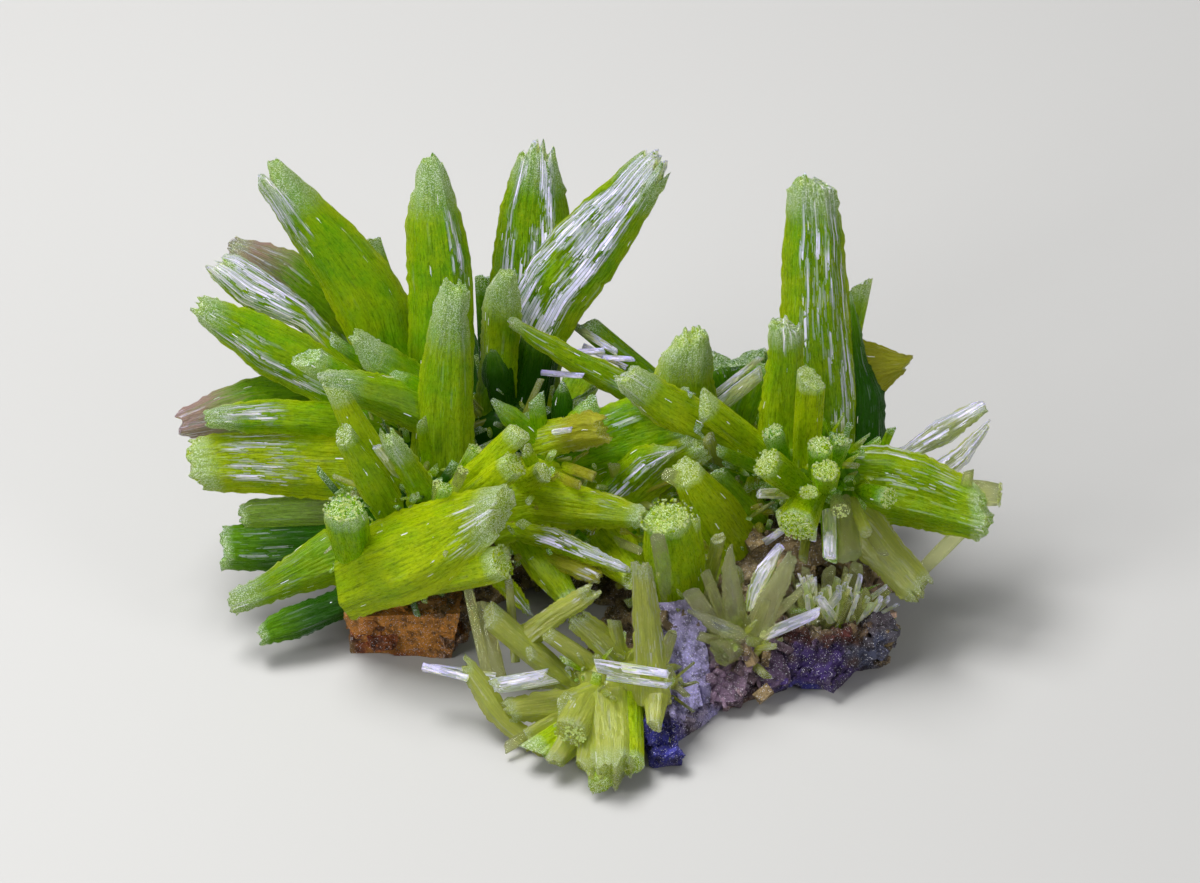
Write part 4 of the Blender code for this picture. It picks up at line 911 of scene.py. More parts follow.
def place_blade(blade, seed):
    """One broad blade of the table, as its own mesh in its place."""
    left, right, (w_root, w_tip), end, thickness, look, silk = blade
    rng = random.Random(seed)
    dice = np.random.default_rng(seed)
    obj = own_copy(rng.choice(FINE["blade"]))
    unit = read_places(obj)
    share = unit[:, 0] + 0.5
    t = np.clip(unit[:, 2], 0, 1)

    # The edges, with small steps where a thread ends.
    rings = BLADE_RINGS + 1
    wobble = [dice.normal(0, EDGE_WOBBLE, rings) for _ in range(2)]
    at = np.linspace(0, 1, rings)
    ring = np.rint(t * (rings - 1)).astype(int)
    lefts = point_along(left, at)
    rights = point_along(right, at)
    span = rights - lefts
    wide = np.hypot(*span.T)
    sideways = span / wide[:, None]
    width_mm = float(wide.max())

    # The end, thread by thread.
    middle = (np.array(left[-1]) + right[-1]) / 2 - (np.array(left[0]) + right[0]) / 2
    run = math.hypot(*middle)
    length_mm = float(np.hypot(run, w_tip - w_root))
    lean = (w_tip - w_root) / run
    forward = middle / run
    count = max(3, int(wide[-1] / THREAD_WIDTH))
    step = dice.uniform(-1, 0.3, count) * LOOKS[look].end_step
    thread = np.clip((share * count).astype(int), 0, count - 1)
    height = np.interp(share, *zip(*end)) + step[thread]
    rise = height * soft_step(END_START, 1.0, t)

    flat = lefts[ring] + span[ring] * share[:, None] + forward * rise[:, None]
    outer = np.abs(share - 0.5) * 2
    uneven = np.where(share < 0.5, wobble[0][ring], wobble[1][ring]) * outer ** EDGE_POWER
    flat += sideways[ring] * uneven[:, None]
    w = w_root + (w_tip - w_root) * t + rise * lean
    co = seen_all(flat[:, 0], flat[:, 1], w)

    # The thickness stands square to the blade's length and breadth.
    axis = middle_at(left, right, -1, w_tip) - middle_at(left, right, 0, w_root)
    breadth = seen_all(span[:, 0], span[:, 1], span[:, 0] * 0)
    out = np.cross(breadth, axis)
    out /= np.linalg.norm(out, axis=1)[:, None]
    thick = thickness * MM * (THIN_PART + (1 - THIN_PART) * wide / width_mm)
    co += (out * thick[:, None])[ring] * unit[:, 1:2]
    last = unit[:, 2] > END
    grain = np.array([noise.noise(Vector(p * GRAINS_PER_MM / MM)) for p in co[last]])
    co[last] += axis / np.linalg.norm(axis) * (grain * BLADE_GRAIN * MM)[:, None]
    write_places(obj, co)
    mark_grain(obj, unit, length_mm, width_mm, look, silk, rng)
    return obj


# %% [markdown]
# ## The crust at the roots
# Where a spray meets the rock, hundreds of short crystals crowd together. Each spray's lumps of
# crust are made as roughened balls, and stubs copied from the plainest form stand all over them.

# %% The crust
CRUSTS = {
    "left_spray": [((-11.0, 7.6, 3.4), (3.4, 3.6, 3.0)), ((-12.0, 3.6, 5.4), (3.0, 3.4, 3.2)),
                   ((-10.6, 4.6, 7.4), (2.2, 2.6, 2.4))],
    "back_spray": [((-5.2, 10.0, 1.2), (3.2, 2.4, 2.8)), ((-5.4, 9.0, -0.8), (3.8, 2.4, 2.2))],
    "centre_spray": [((-3.4, 5.6, 5.6), (2.6, 3.0, 1.9)), ((0.8, 5.4, 4.4), (3.6, 2.9, 1.7)),
                     ((5.0, 1.6, 5.6), (2.9, 3.4, 1.8)), ((7.8, 4.0, 4.8), (2.4, 2.6, 1.7))],
    "right_spray": [((13.2, 7.0, 4.6), (2.8, 2.8, 3.4)), ((10.4, 8.0, 3.8), (3.2, 2.0, 2.8)),
                    ((11.0, 8.0, 1.4), (3.8, 1.9, 2.0))],
    "lower_spray": [((1.4, -5.4, 11.0), (3.2, 2.2, 1.5))],
    "front_fan": [((8.6, -2.8, 8.6), (1.6, 1.1, 1.0))],
    "pocket_needles": [((13.5, -1.0, 5.3), (2.7, 1.1, 0.8))],
}
STUB_SPACING = 0.70  # mm
STUB_SINK = 0.3  # mm: how far a stub's root is sunk into its lump
LOWEST_ROOT = 0.6  # mm above the floor
LOWEST_POINT = 0.2
CRUST_NOISE = bpy.data.textures.new("crust", "CLOUDS")
CRUST_NOISE.noise_scale = 1.1


def plain_marks(obj, look, rng):
    """Marks for a lump: no length, no edges."""
    co = read_places(obj) / MM
    unit = np.stack([co[:, 0] * 0.02, co[:, 1] * 0.02, 0.2 + 0.1 * np.sin(co[:, 2])], 1)
    mark_grain(obj, unit, 4, 4, look, None, rng)


def make_crust(lumps, look, seed):
    """The lumps of one spray and the stubs that stand on them."""
    rng = random.Random(seed)
    others = (look, look, "green", "yellow", "straw")
    if look in ("straw", "pale"):
        others = (look, look, "pale", "straw", "yellow")
    made = []
    for middle, halves in lumps:
        begin()
        bpy.ops.mesh.primitive_ico_sphere_add(subdivisions=4, radius=1.0)
        lump = bpy.context.object
        size = Matrix.Diagonal([h * MM for h in halves] + [1])
        tilt = Matrix((seen(1, 0, 0), seen(0, 1, 0), seen(0, 0, 1))).transposed() * 1000
        lump.data.transform(Matrix.Translation(seen(*middle)) @ tilt.to_4x4() @ size)
        displace(lump, CRUST_NOISE, 0.9, 0.6)
        places = [(v.co.copy(), v.normal.copy()) for v in lump.data.vertices]
        plain_marks(lump, look, rng)
        made.append(lump)
        a, b, c = halves
        area = 4 * math.pi * (a * b + b * c + a * c) / 3
        for _ in range(int(area / STUB_SPACING ** 2)):
            place, normal = rng.choice(places)
            if place.z < LOWEST_ROOT * MM:
                continue
            stub = own_copy(rng.choice(STUBS))
            unit = read_places(stub)
            slender = rng.random() < 0.3
            width = rng.uniform(0.25, 0.55) if slender else rng.uniform(0.3, 0.9)
            length = width * (rng.uniform(4.0, 7.0) if slender else rng.uniform(1.2, 2.8))
            lean = Vector([rng.gauss(0, 0.5) for _ in range(3)])
            axis = (normal + lean).normalized()
            turn = axis.to_track_quat("Z", "Y").to_matrix().to_4x4()
            stub_look = rng.choice(others)
            mark_grain(stub, unit, length, width, stub_look, None, rng)
            flat = rng.uniform(0.35, 0.8)
            co = unit * np.array([width, width * flat, length]) * MM
            tilt_end(co, unit, rng)
            write_places(stub, co)
            stub.data.transform(Matrix.Translation(place - axis * STUB_SINK * MM) @ turn
                                @ Matrix.Rotation(rng.uniform(0, 6.28), 4, "Z"))
            if min(v.co.z for v in stub.data.vertices) < LOWEST_POINT * MM:
                bpy.data.objects.remove(stub)
                continue
            made.append(stub)
    return made


def join(objects, name, smooth=32):
    """One piece of them all, smooth but for edges sharper than this many degrees."""
    begin()
    for obj in objects:
        obj.select_set(True)
    bpy.context.view_layer.objects.active = objects[0]
    bpy.ops.object.join()
    whole = bpy.context.object
    whole.name = name
    whole.data.name = name
    edit_all()
    bpy.ops.mesh.normals_make_consistent(inside=False)
    end_edit()
    bpy.ops.object.shade_smooth_by_angle(angle=math.radians(smooth))
    begin()
    print(name, len(whole.data.polygons), "faces")
    return whole


# %% [markdown]
# ## The sprays
# A spray is one thing that grew together, so its crystals, blades, grains and crust are joined into
# one piece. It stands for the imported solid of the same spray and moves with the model's one body.
# Each row gives its two tables, the piece's name, its material slot and the look of its crust.

# %% The sprays
SPRAYS = {
    "left_spray": (LEFT_SPRAY, LEFT_BLADES, "left_blades", "green_crystal", "deep"),
    "back_spray": (BACK_SPRAY, BACK_BLADES, "back_blades", "green_crystal", "deep"),
    "centre_spray": (CENTRE_SPRAY, CENTRE_BLADES, "centre_crystals", "yellow_green_crystal",
                     "brown"),
    "right_spray": (RIGHT_SPRAY, RIGHT_BLADES, "right_blades", "green_crystal", "green"),
    "lower_spray": (LOWER_SPRAY, LOWER_BLADES, "lower_crystals", "yellow_green_crystal", "straw"),
    "front_fan": (FRONT_FAN, FAN_BLADES, "fan_crystals", "pale_crystal", "straw"),
    "pocket_needles": (POCKET_NEEDLES, [], "needle_crystals", "pale_crystal", "pale"),
}
for number, (node, (table, blades, name, slot, ground)) in enumerate(SPRAYS.items()):
    made = [place_crystal(spec, 1000 * number + i) for i, spec in enumerate(table)]
    made += [place_blade(blade, 1000 * number + 500 + i) for i, blade in enumerate(blades)]
    for i, spec in enumerate(table):
        if spec[3] in ROUND_FORMS:
            made += grains_on(spec, 1000 * number + 700 + i)
    made += make_crust(CRUSTS[node], ground, 1000 * number + 900)
    piece = join(made, name)
    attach(piece, "root")
    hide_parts(node)

# %% [markdown]
# ## A small language for materials
# A finish is a graph of nodes. Written as sums and products of signals it reads like a recipe, so a
# small class wraps a socket and turns each operator into a Math node.

# %% Signals and finishes


class Signal:
    """A number that varies over the surface."""

    def __init__(self, finish, socket):
        self.finish = finish
        self.socket = socket

    def math(self, operation, other=None, third=None):
        values = [v for v in (self, other, third) if v is not None]
        return self.finish.node("ShaderNodeMath", {"operation": operation}, dict(enumerate(values)))

    def __add__(self, other):
        return self.math("ADD", other)

    def __sub__(self, other):
        return self.math("SUBTRACT", other)

    def __mul__(self, other):
        return self.math("MULTIPLY", other)

    def __rsub__(self, other):
        return self.math("MULTIPLY_ADD", -1.0, other)

    def __gt__(self, other):
        return self.math("GREATER_THAN", other)

    __radd__ = __add__

    def clamp(self):
        return self.finish.node("ShaderNodeClamp", {}, {0: self})

    def between(self, low, high):
        """0 below low, 1 above high, and a smooth way between."""
        return self.finish.node("ShaderNodeMapRange", {"interpolation_type": "SMOOTHSTEP"},
                                {"Value": self, "From Min": low, "From Max": high})


class Finish:
    """A material whose nodes are made one call at a time."""

    def __init__(self, name):
        self.material = MATTER.get(name) or bpy.data.materials.new(name)
        self.material.use_nodes = True
        self.tree = self.material.node_tree
        self.shader = self.tree.nodes["Principled BSDF"]

    def node(self, kind, settings, inputs, output=0):
        node = self.tree.nodes.new(kind)
        for key, value in settings.items():
            setattr(node, key, value)
        for key, value in inputs.items():
            self.feed(node.inputs[key], value)
        return Signal(self, node.outputs[output])

    def feed(self, socket, value):
        if isinstance(value, Signal):
            self.tree.links.new(value.socket, socket)
        elif isinstance(value, tuple) and len(value) == 3 and socket.type == "RGBA":
            socket.default_value = (*value, 1)
        else:
            socket.default_value = value

    def mix(self, a, b, factor):
        """Colour a where the factor is 0 and colour b where it is 1."""
        return self.node("ShaderNodeMix", {"data_type": "RGBA"}, {0: factor, 6: a, 7: b}, output=2)

    def attribute(self, name):
        """The four channels of a colour attribute."""
        source = self.node("ShaderNodeAttribute", {"attribute_name": name}, {})
        colour = source.socket.node.outputs["Color"]
        split = self.node("ShaderNodeSeparateColor", {}, {0: Signal(self, colour)})
        channels = [Signal(self, split.socket.node.outputs[i]) for i in range(3)]
        return channels + [Signal(self, source.socket.node.outputs["Alpha"])]

    def grain_coords(self, across, along):
        """The piece's UV map in millimetres, scaled."""
        uv = self.node("ShaderNodeUVMap", {"uv_map": "grain"}, {})
        return self.node("ShaderNodeMapping", {}, {"Vector": uv, "Scale": (across, along, 1)})

    def place_coords(self, scale, offset=(0, 0, 0)):
        """Object coordinates in millimetres, scaled."""
        place = self.node("ShaderNodeTexCoord", {}, {}, output=3)
        size = scale / MM
        return self.node("ShaderNodeMapping", {},
                         {"Vector": place, "Scale": (size, size, size), "Location": offset})

    def clouds(self, coords, detail=2.0, scale=1.0, roughness=0.5):
        return self.node("ShaderNodeTexNoise", {}, {
            "Vector": coords, "Scale": scale, "Detail": detail, "Roughness": roughness})

    def cells(self, coords):
        """A random number for each cell."""
        found = self.node("ShaderNodeTexVoronoi", {"feature": "F1"}, {"Vector": coords}, output=1)
        return self.node("ShaderNodeSeparateColor", {}, {0: found})

    def laths(self, width_mm, length_mm, seed):
        """Long narrow laths with square ends on the grain map: a random number for each lath,
        the gap at its sides and the height of its tilted face."""
        uv = self.node("ShaderNodeUVMap", {"uv_map": "grain"}, {})
        split = self.node("ShaderNodeSeparateXYZ", {}, {0: uv})
        u = split
        v = Signal(self, split.socket.node.outputs[1])
        drift = self.clouds(self.grain_coords(0.5, 0.04), detail=0)
        across = u * (1 / width_mm) + drift * (0.15 / width_mm) + seed
        column = across.math("FLOOR")
        shift = self.node("ShaderNodeTexWhiteNoise", {"noise_dimensions": "1D"}, {"W": column})
        fray = self.clouds(self.grain_coords(9.0, 3.0), detail=1)
        row = (v * (1 / length_mm) + shift * 9.7 + fray * 1.1).math("FLOOR")
        cell = self.node("ShaderNodeCombineXYZ", {}, {0: column, 1: row})
        value = self.node("ShaderNodeTexWhiteNoise", {"noise_dimensions": "2D"}, {"Vector": cell})
        inside = across.math("FRACT") - 0.5
        gap = inside.math("ABSOLUTE").between(0.30, 0.5)
        return value, gap, inside * (value - 0.5)

    def set(self, **values):
        for key, value in values.items():
            self.feed(self.shader.inputs[key.replace("_", " ")], value)

    def bump(self, height, depth_mm, strength=1.0):
        normal = self.node("ShaderNodeBump", {},
                           {"Height": height, "Distance": depth_mm * MM, "Strength": strength})
        self.set(Normal=normal)


# %% [markdown]
# ## Pyromorphite
# The real crystals are translucent with a greasy, almost metallic gloss: light sinks in and comes
# out again, thin edges glow yellow, and each tiny lath on the sides reflects on its own, as a white
# streak. One recipe makes three materials: the green crystals scatter light below their surface,
# the straw ones also let some of it through, and the clear ones are see-through by transmission and
# index of refraction. The streaks could be real threads, but there are far too many, so they are
# painted sheen: long cells on the UV map that are pale or not, cell by cell. The glow of the thin
# edges is painted light in the base colour and a faint emission, and the green is painted darker
# towards the roots and in the gaps between the laths, as painted shade.

# %% The crystal finish
DEEP_GREEN_AND_SHADE = (0.012, 0.055, 0.001)
LEAF_GREEN = (0.100, 0.245, 0.0005)
YELLOW_GREEN = (0.265, 0.345, 0.0005)
EDGE_GLOW = (0.360, 0.420, 0.004)
CLEAR_YELLOW = (0.86, 0.88, 0.36)
MINT = (0.23, 0.34, 0.13)
SHEEN_SILVER = (0.80, 0.75, 1.0)
STRAW = (0.38, 0.385, 0.025)
SHEEN_LILAC = (0.38, 0.41, 0.47)
MAUVE_BROWN = (0.26, 0.17, 0.15)
AMBER = (0.22, 0.16, 0.015)
STRAW_GLOW = (0.66, 0.70, 0.24)
ICE = (0.78, 0.84, 0.80)
GLINT = (0.8, 0.8, 0.9)
GLITTER = (0.80, 0.86, 0.80)
SUBSURFACE_DEPTH = 2 * MM


def crystal_finish(name, transmission, subsurface):
    """One of the three materials: how much light goes through it and how much sinks in."""
    f = Finish(name)
    along, edge, end, chance = f.attribute("along")
    silky, yellow, pale, brown = f.attribute("look")
    tip, white, _, _ = f.attribute("ends")
    threads = f.clouds(f.grain_coords(5.0, 0.30), detail=5, roughness=0.75)
    fine = f.clouds(f.grain_coords(10.0, 2.0), detail=3, roughness=0.7)
    lath, gap, facet = f.laths(0.20, 1.6, 3.1)
    middle, _, _ = f.laths(0.13, 0.9, 9.7)
    narrow, _, narrow_facet = f.laths(0.07, 0.45, 17.3)
    patches = f.clouds(f.grain_coords(0.5, 0.2), detail=2)
    cloud = f.clouds(f.place_coords(0.20), detail=2)
    mottle = f.clouds(f.place_coords(0.9), detail=4)
    specks = f.cells(f.place_coords(6.0))
    sugar = f.clouds(f.place_coords(4.5), detail=4, roughness=0.8)

    # The green darkens towards the root: painted shade where the crystals crowd together. The dark
    # threads and sugar below are the crystals' own texture.
    depth = along + (threads - 0.5) * 0.5 + yellow * 0.3 + (chance - 0.5) * 0.2
    body = f.mix(DEEP_GREEN_AND_SHADE, LEAF_GREEN, depth.between(-0.15, 0.5))
    # The edge term yellows the thin edges: a painted glow of light through them.
    warm = yellow * 0.8 + (cloud - 0.5) * 1.0 + edge.between(0.6, 1.0) * 0.35
    warm = warm + (mottle - 0.5) * 1.2 + (chance - 0.5) * 0.3
    body = f.mix(body, YELLOW_GREEN, warm.clamp())
    body = f.mix(body, DEEP_GREEN_AND_SHADE, threads.between(0.50, 0.34) * 0.45)
    body = f.mix(body, DEEP_GREEN_AND_SHADE, fine.between(0.50, 0.34) * 0.40)
    body = f.mix(body, DEEP_GREEN_AND_SHADE, sugar.between(0.46, 0.34) * 0.35)
    # Lighter threads and sugar are the crystals' own texture; the lighter thin edges, stronger
    # towards the tip, are a painted glow of light through them.
    glow_and_light_threads = threads.between(0.55, 0.72) * 0.30 + edge.between(0.88, 1.0) * 0.45
    glow_and_light_threads = glow_and_light_threads + sugar.between(0.54, 0.66) * 0.40
    body = f.mix(body, EDGE_GLOW, (glow_and_light_threads * (along + yellow * 0.3)).clamp())
    body = f.mix(body, STRAW, (pale * (0.85 + (threads - 0.5) * 2.0)).clamp())
    # Painted highlight: pale streaks on the straw crystals where their threads catch the light.
    body = f.mix(body, STRAW_GLOW, (threads + fine).between(1.06, 1.30) * pale * 0.8)
    start = (along + (threads - 0.5) * 0.8) - brown * 0.68
    brownish = (start * 3.5).clamp() * brown
    body = f.mix(body, f.mix(MAUVE_BROWN, AMBER, yellow.clamp()), (brownish * 1.2).clamp())
    whitened = tip * (0.75 + (threads - 0.5) * 2.0 + (mottle - 0.5) * 1.0) * (1 - end * 0.7)
    body = f.mix(body, MINT, whitened.clamp() * 0.7)
    body = f.mix(body, ICE, white)
    if transmission:
        clearness = (0.8 - threads.between(0.5, 0.7) * 0.3) * transmission ** 2
        body = f.mix(body, CLEAR_YELLOW, clearness)

    # Painted sheen: the white streaks are reflections of the light, painted lath by lath into the
    # base colour. Under them the green is darker, and darkest in the gaps between the laths, as
    # painted shade.
    amount = silky * patches.between(0.30, 0.52)
    sheen_lath = ((amount * 0.64 - lath) * 3.0).clamp()
    sheen_strip = ((amount * 0.50 - middle) * 3.0).clamp() * 0.8
    sheen_thread = ((amount * 0.42 - narrow) * 3.0).clamp() * 0.6
    shadow = gap * (1 - white * 2.6).clamp()
    silk = (sheen_lath + sheen_strip + sheen_thread).clamp() * (1 - shadow * 0.7)
    body = f.mix(body, DEEP_GREEN_AND_SHADE, ((shadow * 0.5 + 0.25) * amount * (1 - white * 3)).clamp())
    body = f.mix(body, f.mix(SHEEN_LILAC, SHEEN_SILVER, (middle * 1.5 - 0.1).clamp()), silk * 0.95)
    # Painted glints on single laths; the white specks on the tips and ends are pale grains with
    # painted glitter.
    glint = (narrow > 0.995) * (lath > 0.6)
    body = f.mix(body, GLINT, glint)
    glitter = (specks > 0.76) * (tip * 0.8 + end * 0.35).clamp()
    body = f.mix(body, GLITTER, glitter * 0.7)

    relief = threads * 0.4 + fine * 0.35 + (facet * 2.2 + narrow_facet * 1.0) * (silky + 0.65)
    relief = relief + specks * (tip * 0.4 + end * 0.8) + sugar * 0.3
    # The emission of the body colour is a painted glow: it lifts the shaded parts, standing in for
    # light that scatters through the crystals.
    f.set(Base_Color=body, Emission_Color=body, IOR=1.5, Coat_Weight=0.04, Coat_Roughness=0.04)
    if transmission:
        f.bump(relief, 0.06)
        f.set(Roughness=0.08, Specular_IOR_Level=0.4, Emission_Strength=0.02)
    else:
        f.bump(relief, 0.12)
        f.set(Roughness=fine * 0.08 + 0.24, Specular_IOR_Level=0.08, Emission_Strength=0.08)
    f.set(Transmission_Weight=transmission, Subsurface_Weight=subsurface,
          Subsurface_Scale=SUBSURFACE_DEPTH)
    f.shader.subsurface_method = "BURLEY"
    f.shader.inputs["Subsurface Radius"].default_value = (0.8, 1.0, 0.10)
    print(name, "has", len(f.tree.nodes), "nodes")


crystal_finish(GREEN_MATTER, 0.0, 0.55)
crystal_finish(STRAW_MATTER, 0.42, 0.35)
crystal_finish(CLEAR_MATTER, 0.88, 0.0)

# %% [markdown]
# ## The rock
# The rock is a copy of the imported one, remeshed finely enough to be broken up by noise, which
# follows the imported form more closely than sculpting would. Only its flat underside stays as it is.

# %% The broken rock
VOXEL = 0.24  # mm
FLAT_PART = 0.15  # mm: up to here above the underside the noise does nothing
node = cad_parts["matrix_rock"]
begin()
rock = node.copy()
rock.data = node.data.copy()
add_to_scene(rock)
rock.parent = None
rock.data.transform(node.matrix_world)
rock.matrix_world = Matrix.Identity(4)
pick(rock)
edit_all()
bpy.ops.mesh.remove_doubles(threshold=0.00001)
bpy.ops.mesh.normals_make_consistent(inside=False)
end_edit()
apply_modifier(rock, "REMESH", mode="VOXEL", voxel_size=VOXEL * MM)

BREAKS = bpy.data.textures.new("breaks", "VORONOI")
BREAKS.noise_scale = 1.1
BREAKS.color_mode = "POSITION"
ROUGH = bpy.data.textures.new("rough", "CLOUDS")
ROUGH.noise_scale = 0.7
ROUGH.noise_depth = 5
upper = rock.vertex_groups.new(name="upper")
for vertex in rock.data.vertices:
    upper.add([vertex.index], min(1.0, max(0.0, vertex.co.z / MM - FLAT_PART)), "REPLACE")
for texture, level in ((BREAKS, 0.65), (ROUGH, 0.55)):
    displace(rock, texture, 1.0, level, vertex_group="upper")
rock.vertex_groups.clear()
print("faces in the rock", len(rock.data.polygons))

# %% [markdown]
# The minerals of the rock lie in patches: each has a place in the view, a reach in millimetres
# and a colour, and the nearest patches win, with borders that wander.

# %% Minerals by place
MINERALS = {
    "brown": (0.190, 0.135, 0.060), "ochre": (0.500, 0.205, 0.035), "rust": (0.200, 0.040, 0.018),
    "pink": (0.400, 0.260, 0.190), "sand": (0.380, 0.300, 0.170), "lavender": (0.330, 0.300, 0.560),
    "mauve": (0.230, 0.150, 0.230), "blue": (0.030, 0.034, 0.270), "oxblood": (0.080, 0.016, 0.016),
    "plum": (0.046, 0.024, 0.145), "slate": (0.070, 0.078, 0.135), "olive": (0.130, 0.130, 0.030),
}
PATCHES = [
    ((-12.0, -2.2), 3.2, "ochre"), ((-14.3, -2.6), 1.0, "rust"), ((-13.0, -1.6), 0.8, "rust"),
    ((-9.4, -3.0), 1.6, "ochre"), ((-8.6, -4.2), 1.6, "pink"), ((-11.8, -4.4), 1.2, "rust"),
    ((-6.0, -3.4), 2.0, "brown"), ((0.0, 4.0), 5.5, "brown"), ((-2.0, 0.0), 2.5, "olive"),
    ((6.0, 3.0), 4.0, "brown"), ((9.0, 0.6), 2.0, "sand"), ((5.0, -3.6), 1.8, "lavender"),
    ((4.8, -6.0), 1.4, "lavender"), ((7.4, -5.2), 1.9, "mauve"), ((6.8, -7.4), 1.2, "lavender"),
    ((3.4, -9.0), 2.4, "blue"), ((11.6, -2.3), 1.2, "oxblood"), ((14.2, -2.6), 1.1, "oxblood"),
    ((10.6, -4.6), 1.4, "plum"), ((12.6, -4.3), 1.6, "plum"), ((14.4, -4.6), 1.4, "plum"),
    ((16.0, -3.4), 1.3, "slate"), ((13.0, -1.4), 1.3, "sand"), ((10.2, -1.6), 1.0, "pink"),
    ((16.4, -0.8), 1.5, "pink"), ((17.6, 0.2), 1.2, "sand"), ((12.0, -6.2), 1.4, "blue"),
]


def tint_at(places):
    """The mineral colours at places in the model's frame."""
    u = places[:, 0] / MM
    v = (places[:, 1] * math.sin(VIEW_TILT) + places[:, 2] * math.cos(VIEW_TILT)) / MM
    wander = np.array([noise.noise_vector(Vector(p / MM * 0.9)) for p in places])
    u = u + wander[:, 0] * 1.1
    v = v + wander[:, 1] * 1.1
    total = np.full(len(places), 0.12)
    colour = np.outer(total, MINERALS["brown"])
    for (pu, pv), reach, mineral in PATCHES:
        weight = np.exp(-((u - pu) ** 2 + (v - pv) ** 2) / (reach * 0.62) ** 2 * 1.6) * 3
        total += weight
        colour += np.outer(weight, MINERALS[mineral])
    return colour / total[:, None]


def paint(obj, colours):
    """Writes one colour for each point, for the rock's material to read."""
    layer = obj.data.color_attributes.new("tint", "FLOAT_COLOR", "POINT")
    full = np.concatenate([colours, np.ones((len(colours), 1))], 1)
    layer.data.foreach_set("color", full.astype(np.float32).ravel())


rock_places = read_places(rock)
paint(rock, tint_at(rock_places))

# %% [markdown]
# Broken rock shows plane pieces, chips and splinters. The largest pieces lie where the photo shows
# them: each has its middle, its half sizes, how far it leans and turns, its mineral and how light
# it is. The small ones are strewn by a seed and take the colour of the rock below them.

# %% Plane pieces
PLATES = [
    ((4.9, -8.9, 2.9), (1.35, 2.8, 0.95), 38, 8, "lavender", 1.3),
    ((5.6, -8.2, 2.2), (0.8, 2.2, 0.5), 52, -10, "lavender", 1.0),
    ((6.9, -9.7, 1.7), (2.0, 1.9, 0.85), 42, -14, "mauve", 1.2),
    ((7.8, -10.2, 1.2), (0.9, 1.3, 0.4), 60, 20, "pink", 0.8),
    ((9.9, -9.2, 1.1), (1.1, 1.1, 1.0), 30, 25, "mauve", 0.8),
    ((10.6, -8.9, 1.0), (0.8, 0.9, 0.5), 15, 50, "plum", 1.0),
    ((-11.5, -3.4, 1.9), (3.35, 2.85, 1.75), 4, -4, "ochre", 1.15),
    ((-9.2, -5.6, 1.4), (0.7, 0.9, 0.5), 30, 35, "pink", 0.8),
    ((-13.0, -5.9, 1.1), (0.9, 0.6, 0.5), -20, 15, "rust", 1.2),
    ((16.6, -6.4, 2.2), (0.9, 1.0, 0.9), 20, 30, "slate", 1.3),
    ((15.6, -7.4, 1.5), (0.7, 0.8, 0.6), 35, 10, "slate", 1.0),
]


def plate(middle, halves, lean, turn, mineral, shade):
    """A broken piece with a plane surface, subdivided so that its edges can crumble."""
    obj = own_copy(SHARD)
    pick(obj)
    edit_all()
    bpy.ops.mesh.subdivide(number_cuts=14)
    end_edit()
    place = Matrix.Translation(Vector(middle) * MM) @ Matrix.Rotation(math.radians(turn), 4, "Z")
    place = place @ Matrix.Rotation(math.radians(lean), 4, "X")
    obj.data.transform(place @ Matrix.Diagonal([h * 1.9 * MM for h in halves] + [1]))
    for texture, strength in ((BREAKS, 0.45), (ROUGH, 0.28)):
        displace(obj, texture, strength, 0.6)
    co = read_places(obj)
    co[:, 2] = np.maximum(co[:, 2], 0.02 * MM)
    write_places(obj, co)
    own = np.array(MINERALS[mineral]) * shade
    paint(obj, tint_at(co) * 0.3 + own * 0.7)
    return obj


# %% [markdown]
# Chips are small balls of few faces and splinters are bent boxes, set on random points of the rock
# along its normal there. None reaches the floor.

# %% Chips and splinters
CHIPS = 1500  # the rock itself counts as one
SPLINTERS = 420
CHIP_LOWEST = 0.7  # mm above the floor
SPLINTER_LOWEST = 0.9
SPLINTER_TIP_LOWEST = 0.1
rng = random.Random(77)
normals = np.empty(len(rock.data.vertices) * 3, np.float32)
rock.data.vertices.foreach_get("normal", normals)
normals = normals.reshape(-1, 3)
begin()
bpy.ops.mesh.primitive_ico_sphere_add(subdivisions=1, radius=0.5)
CHIP = bpy.context.object
begin()
bpy.ops.mesh.primitive_cube_add(size=1.0)
SHARD = bpy.context.object
edit_all()
bpy.ops.transform.vertex_random(offset=0.16, uniform=0.0, normal=0.0, seed=4)
end_edit()


def paint_as_below(obj, i, shade):
    """The colour of the rock's point i, lighter or darker, on the whole object."""
    colour = tint_at(rock_places[i:i + 1]) * shade
    paint(obj, np.repeat(colour, len(obj.data.vertices), 0))


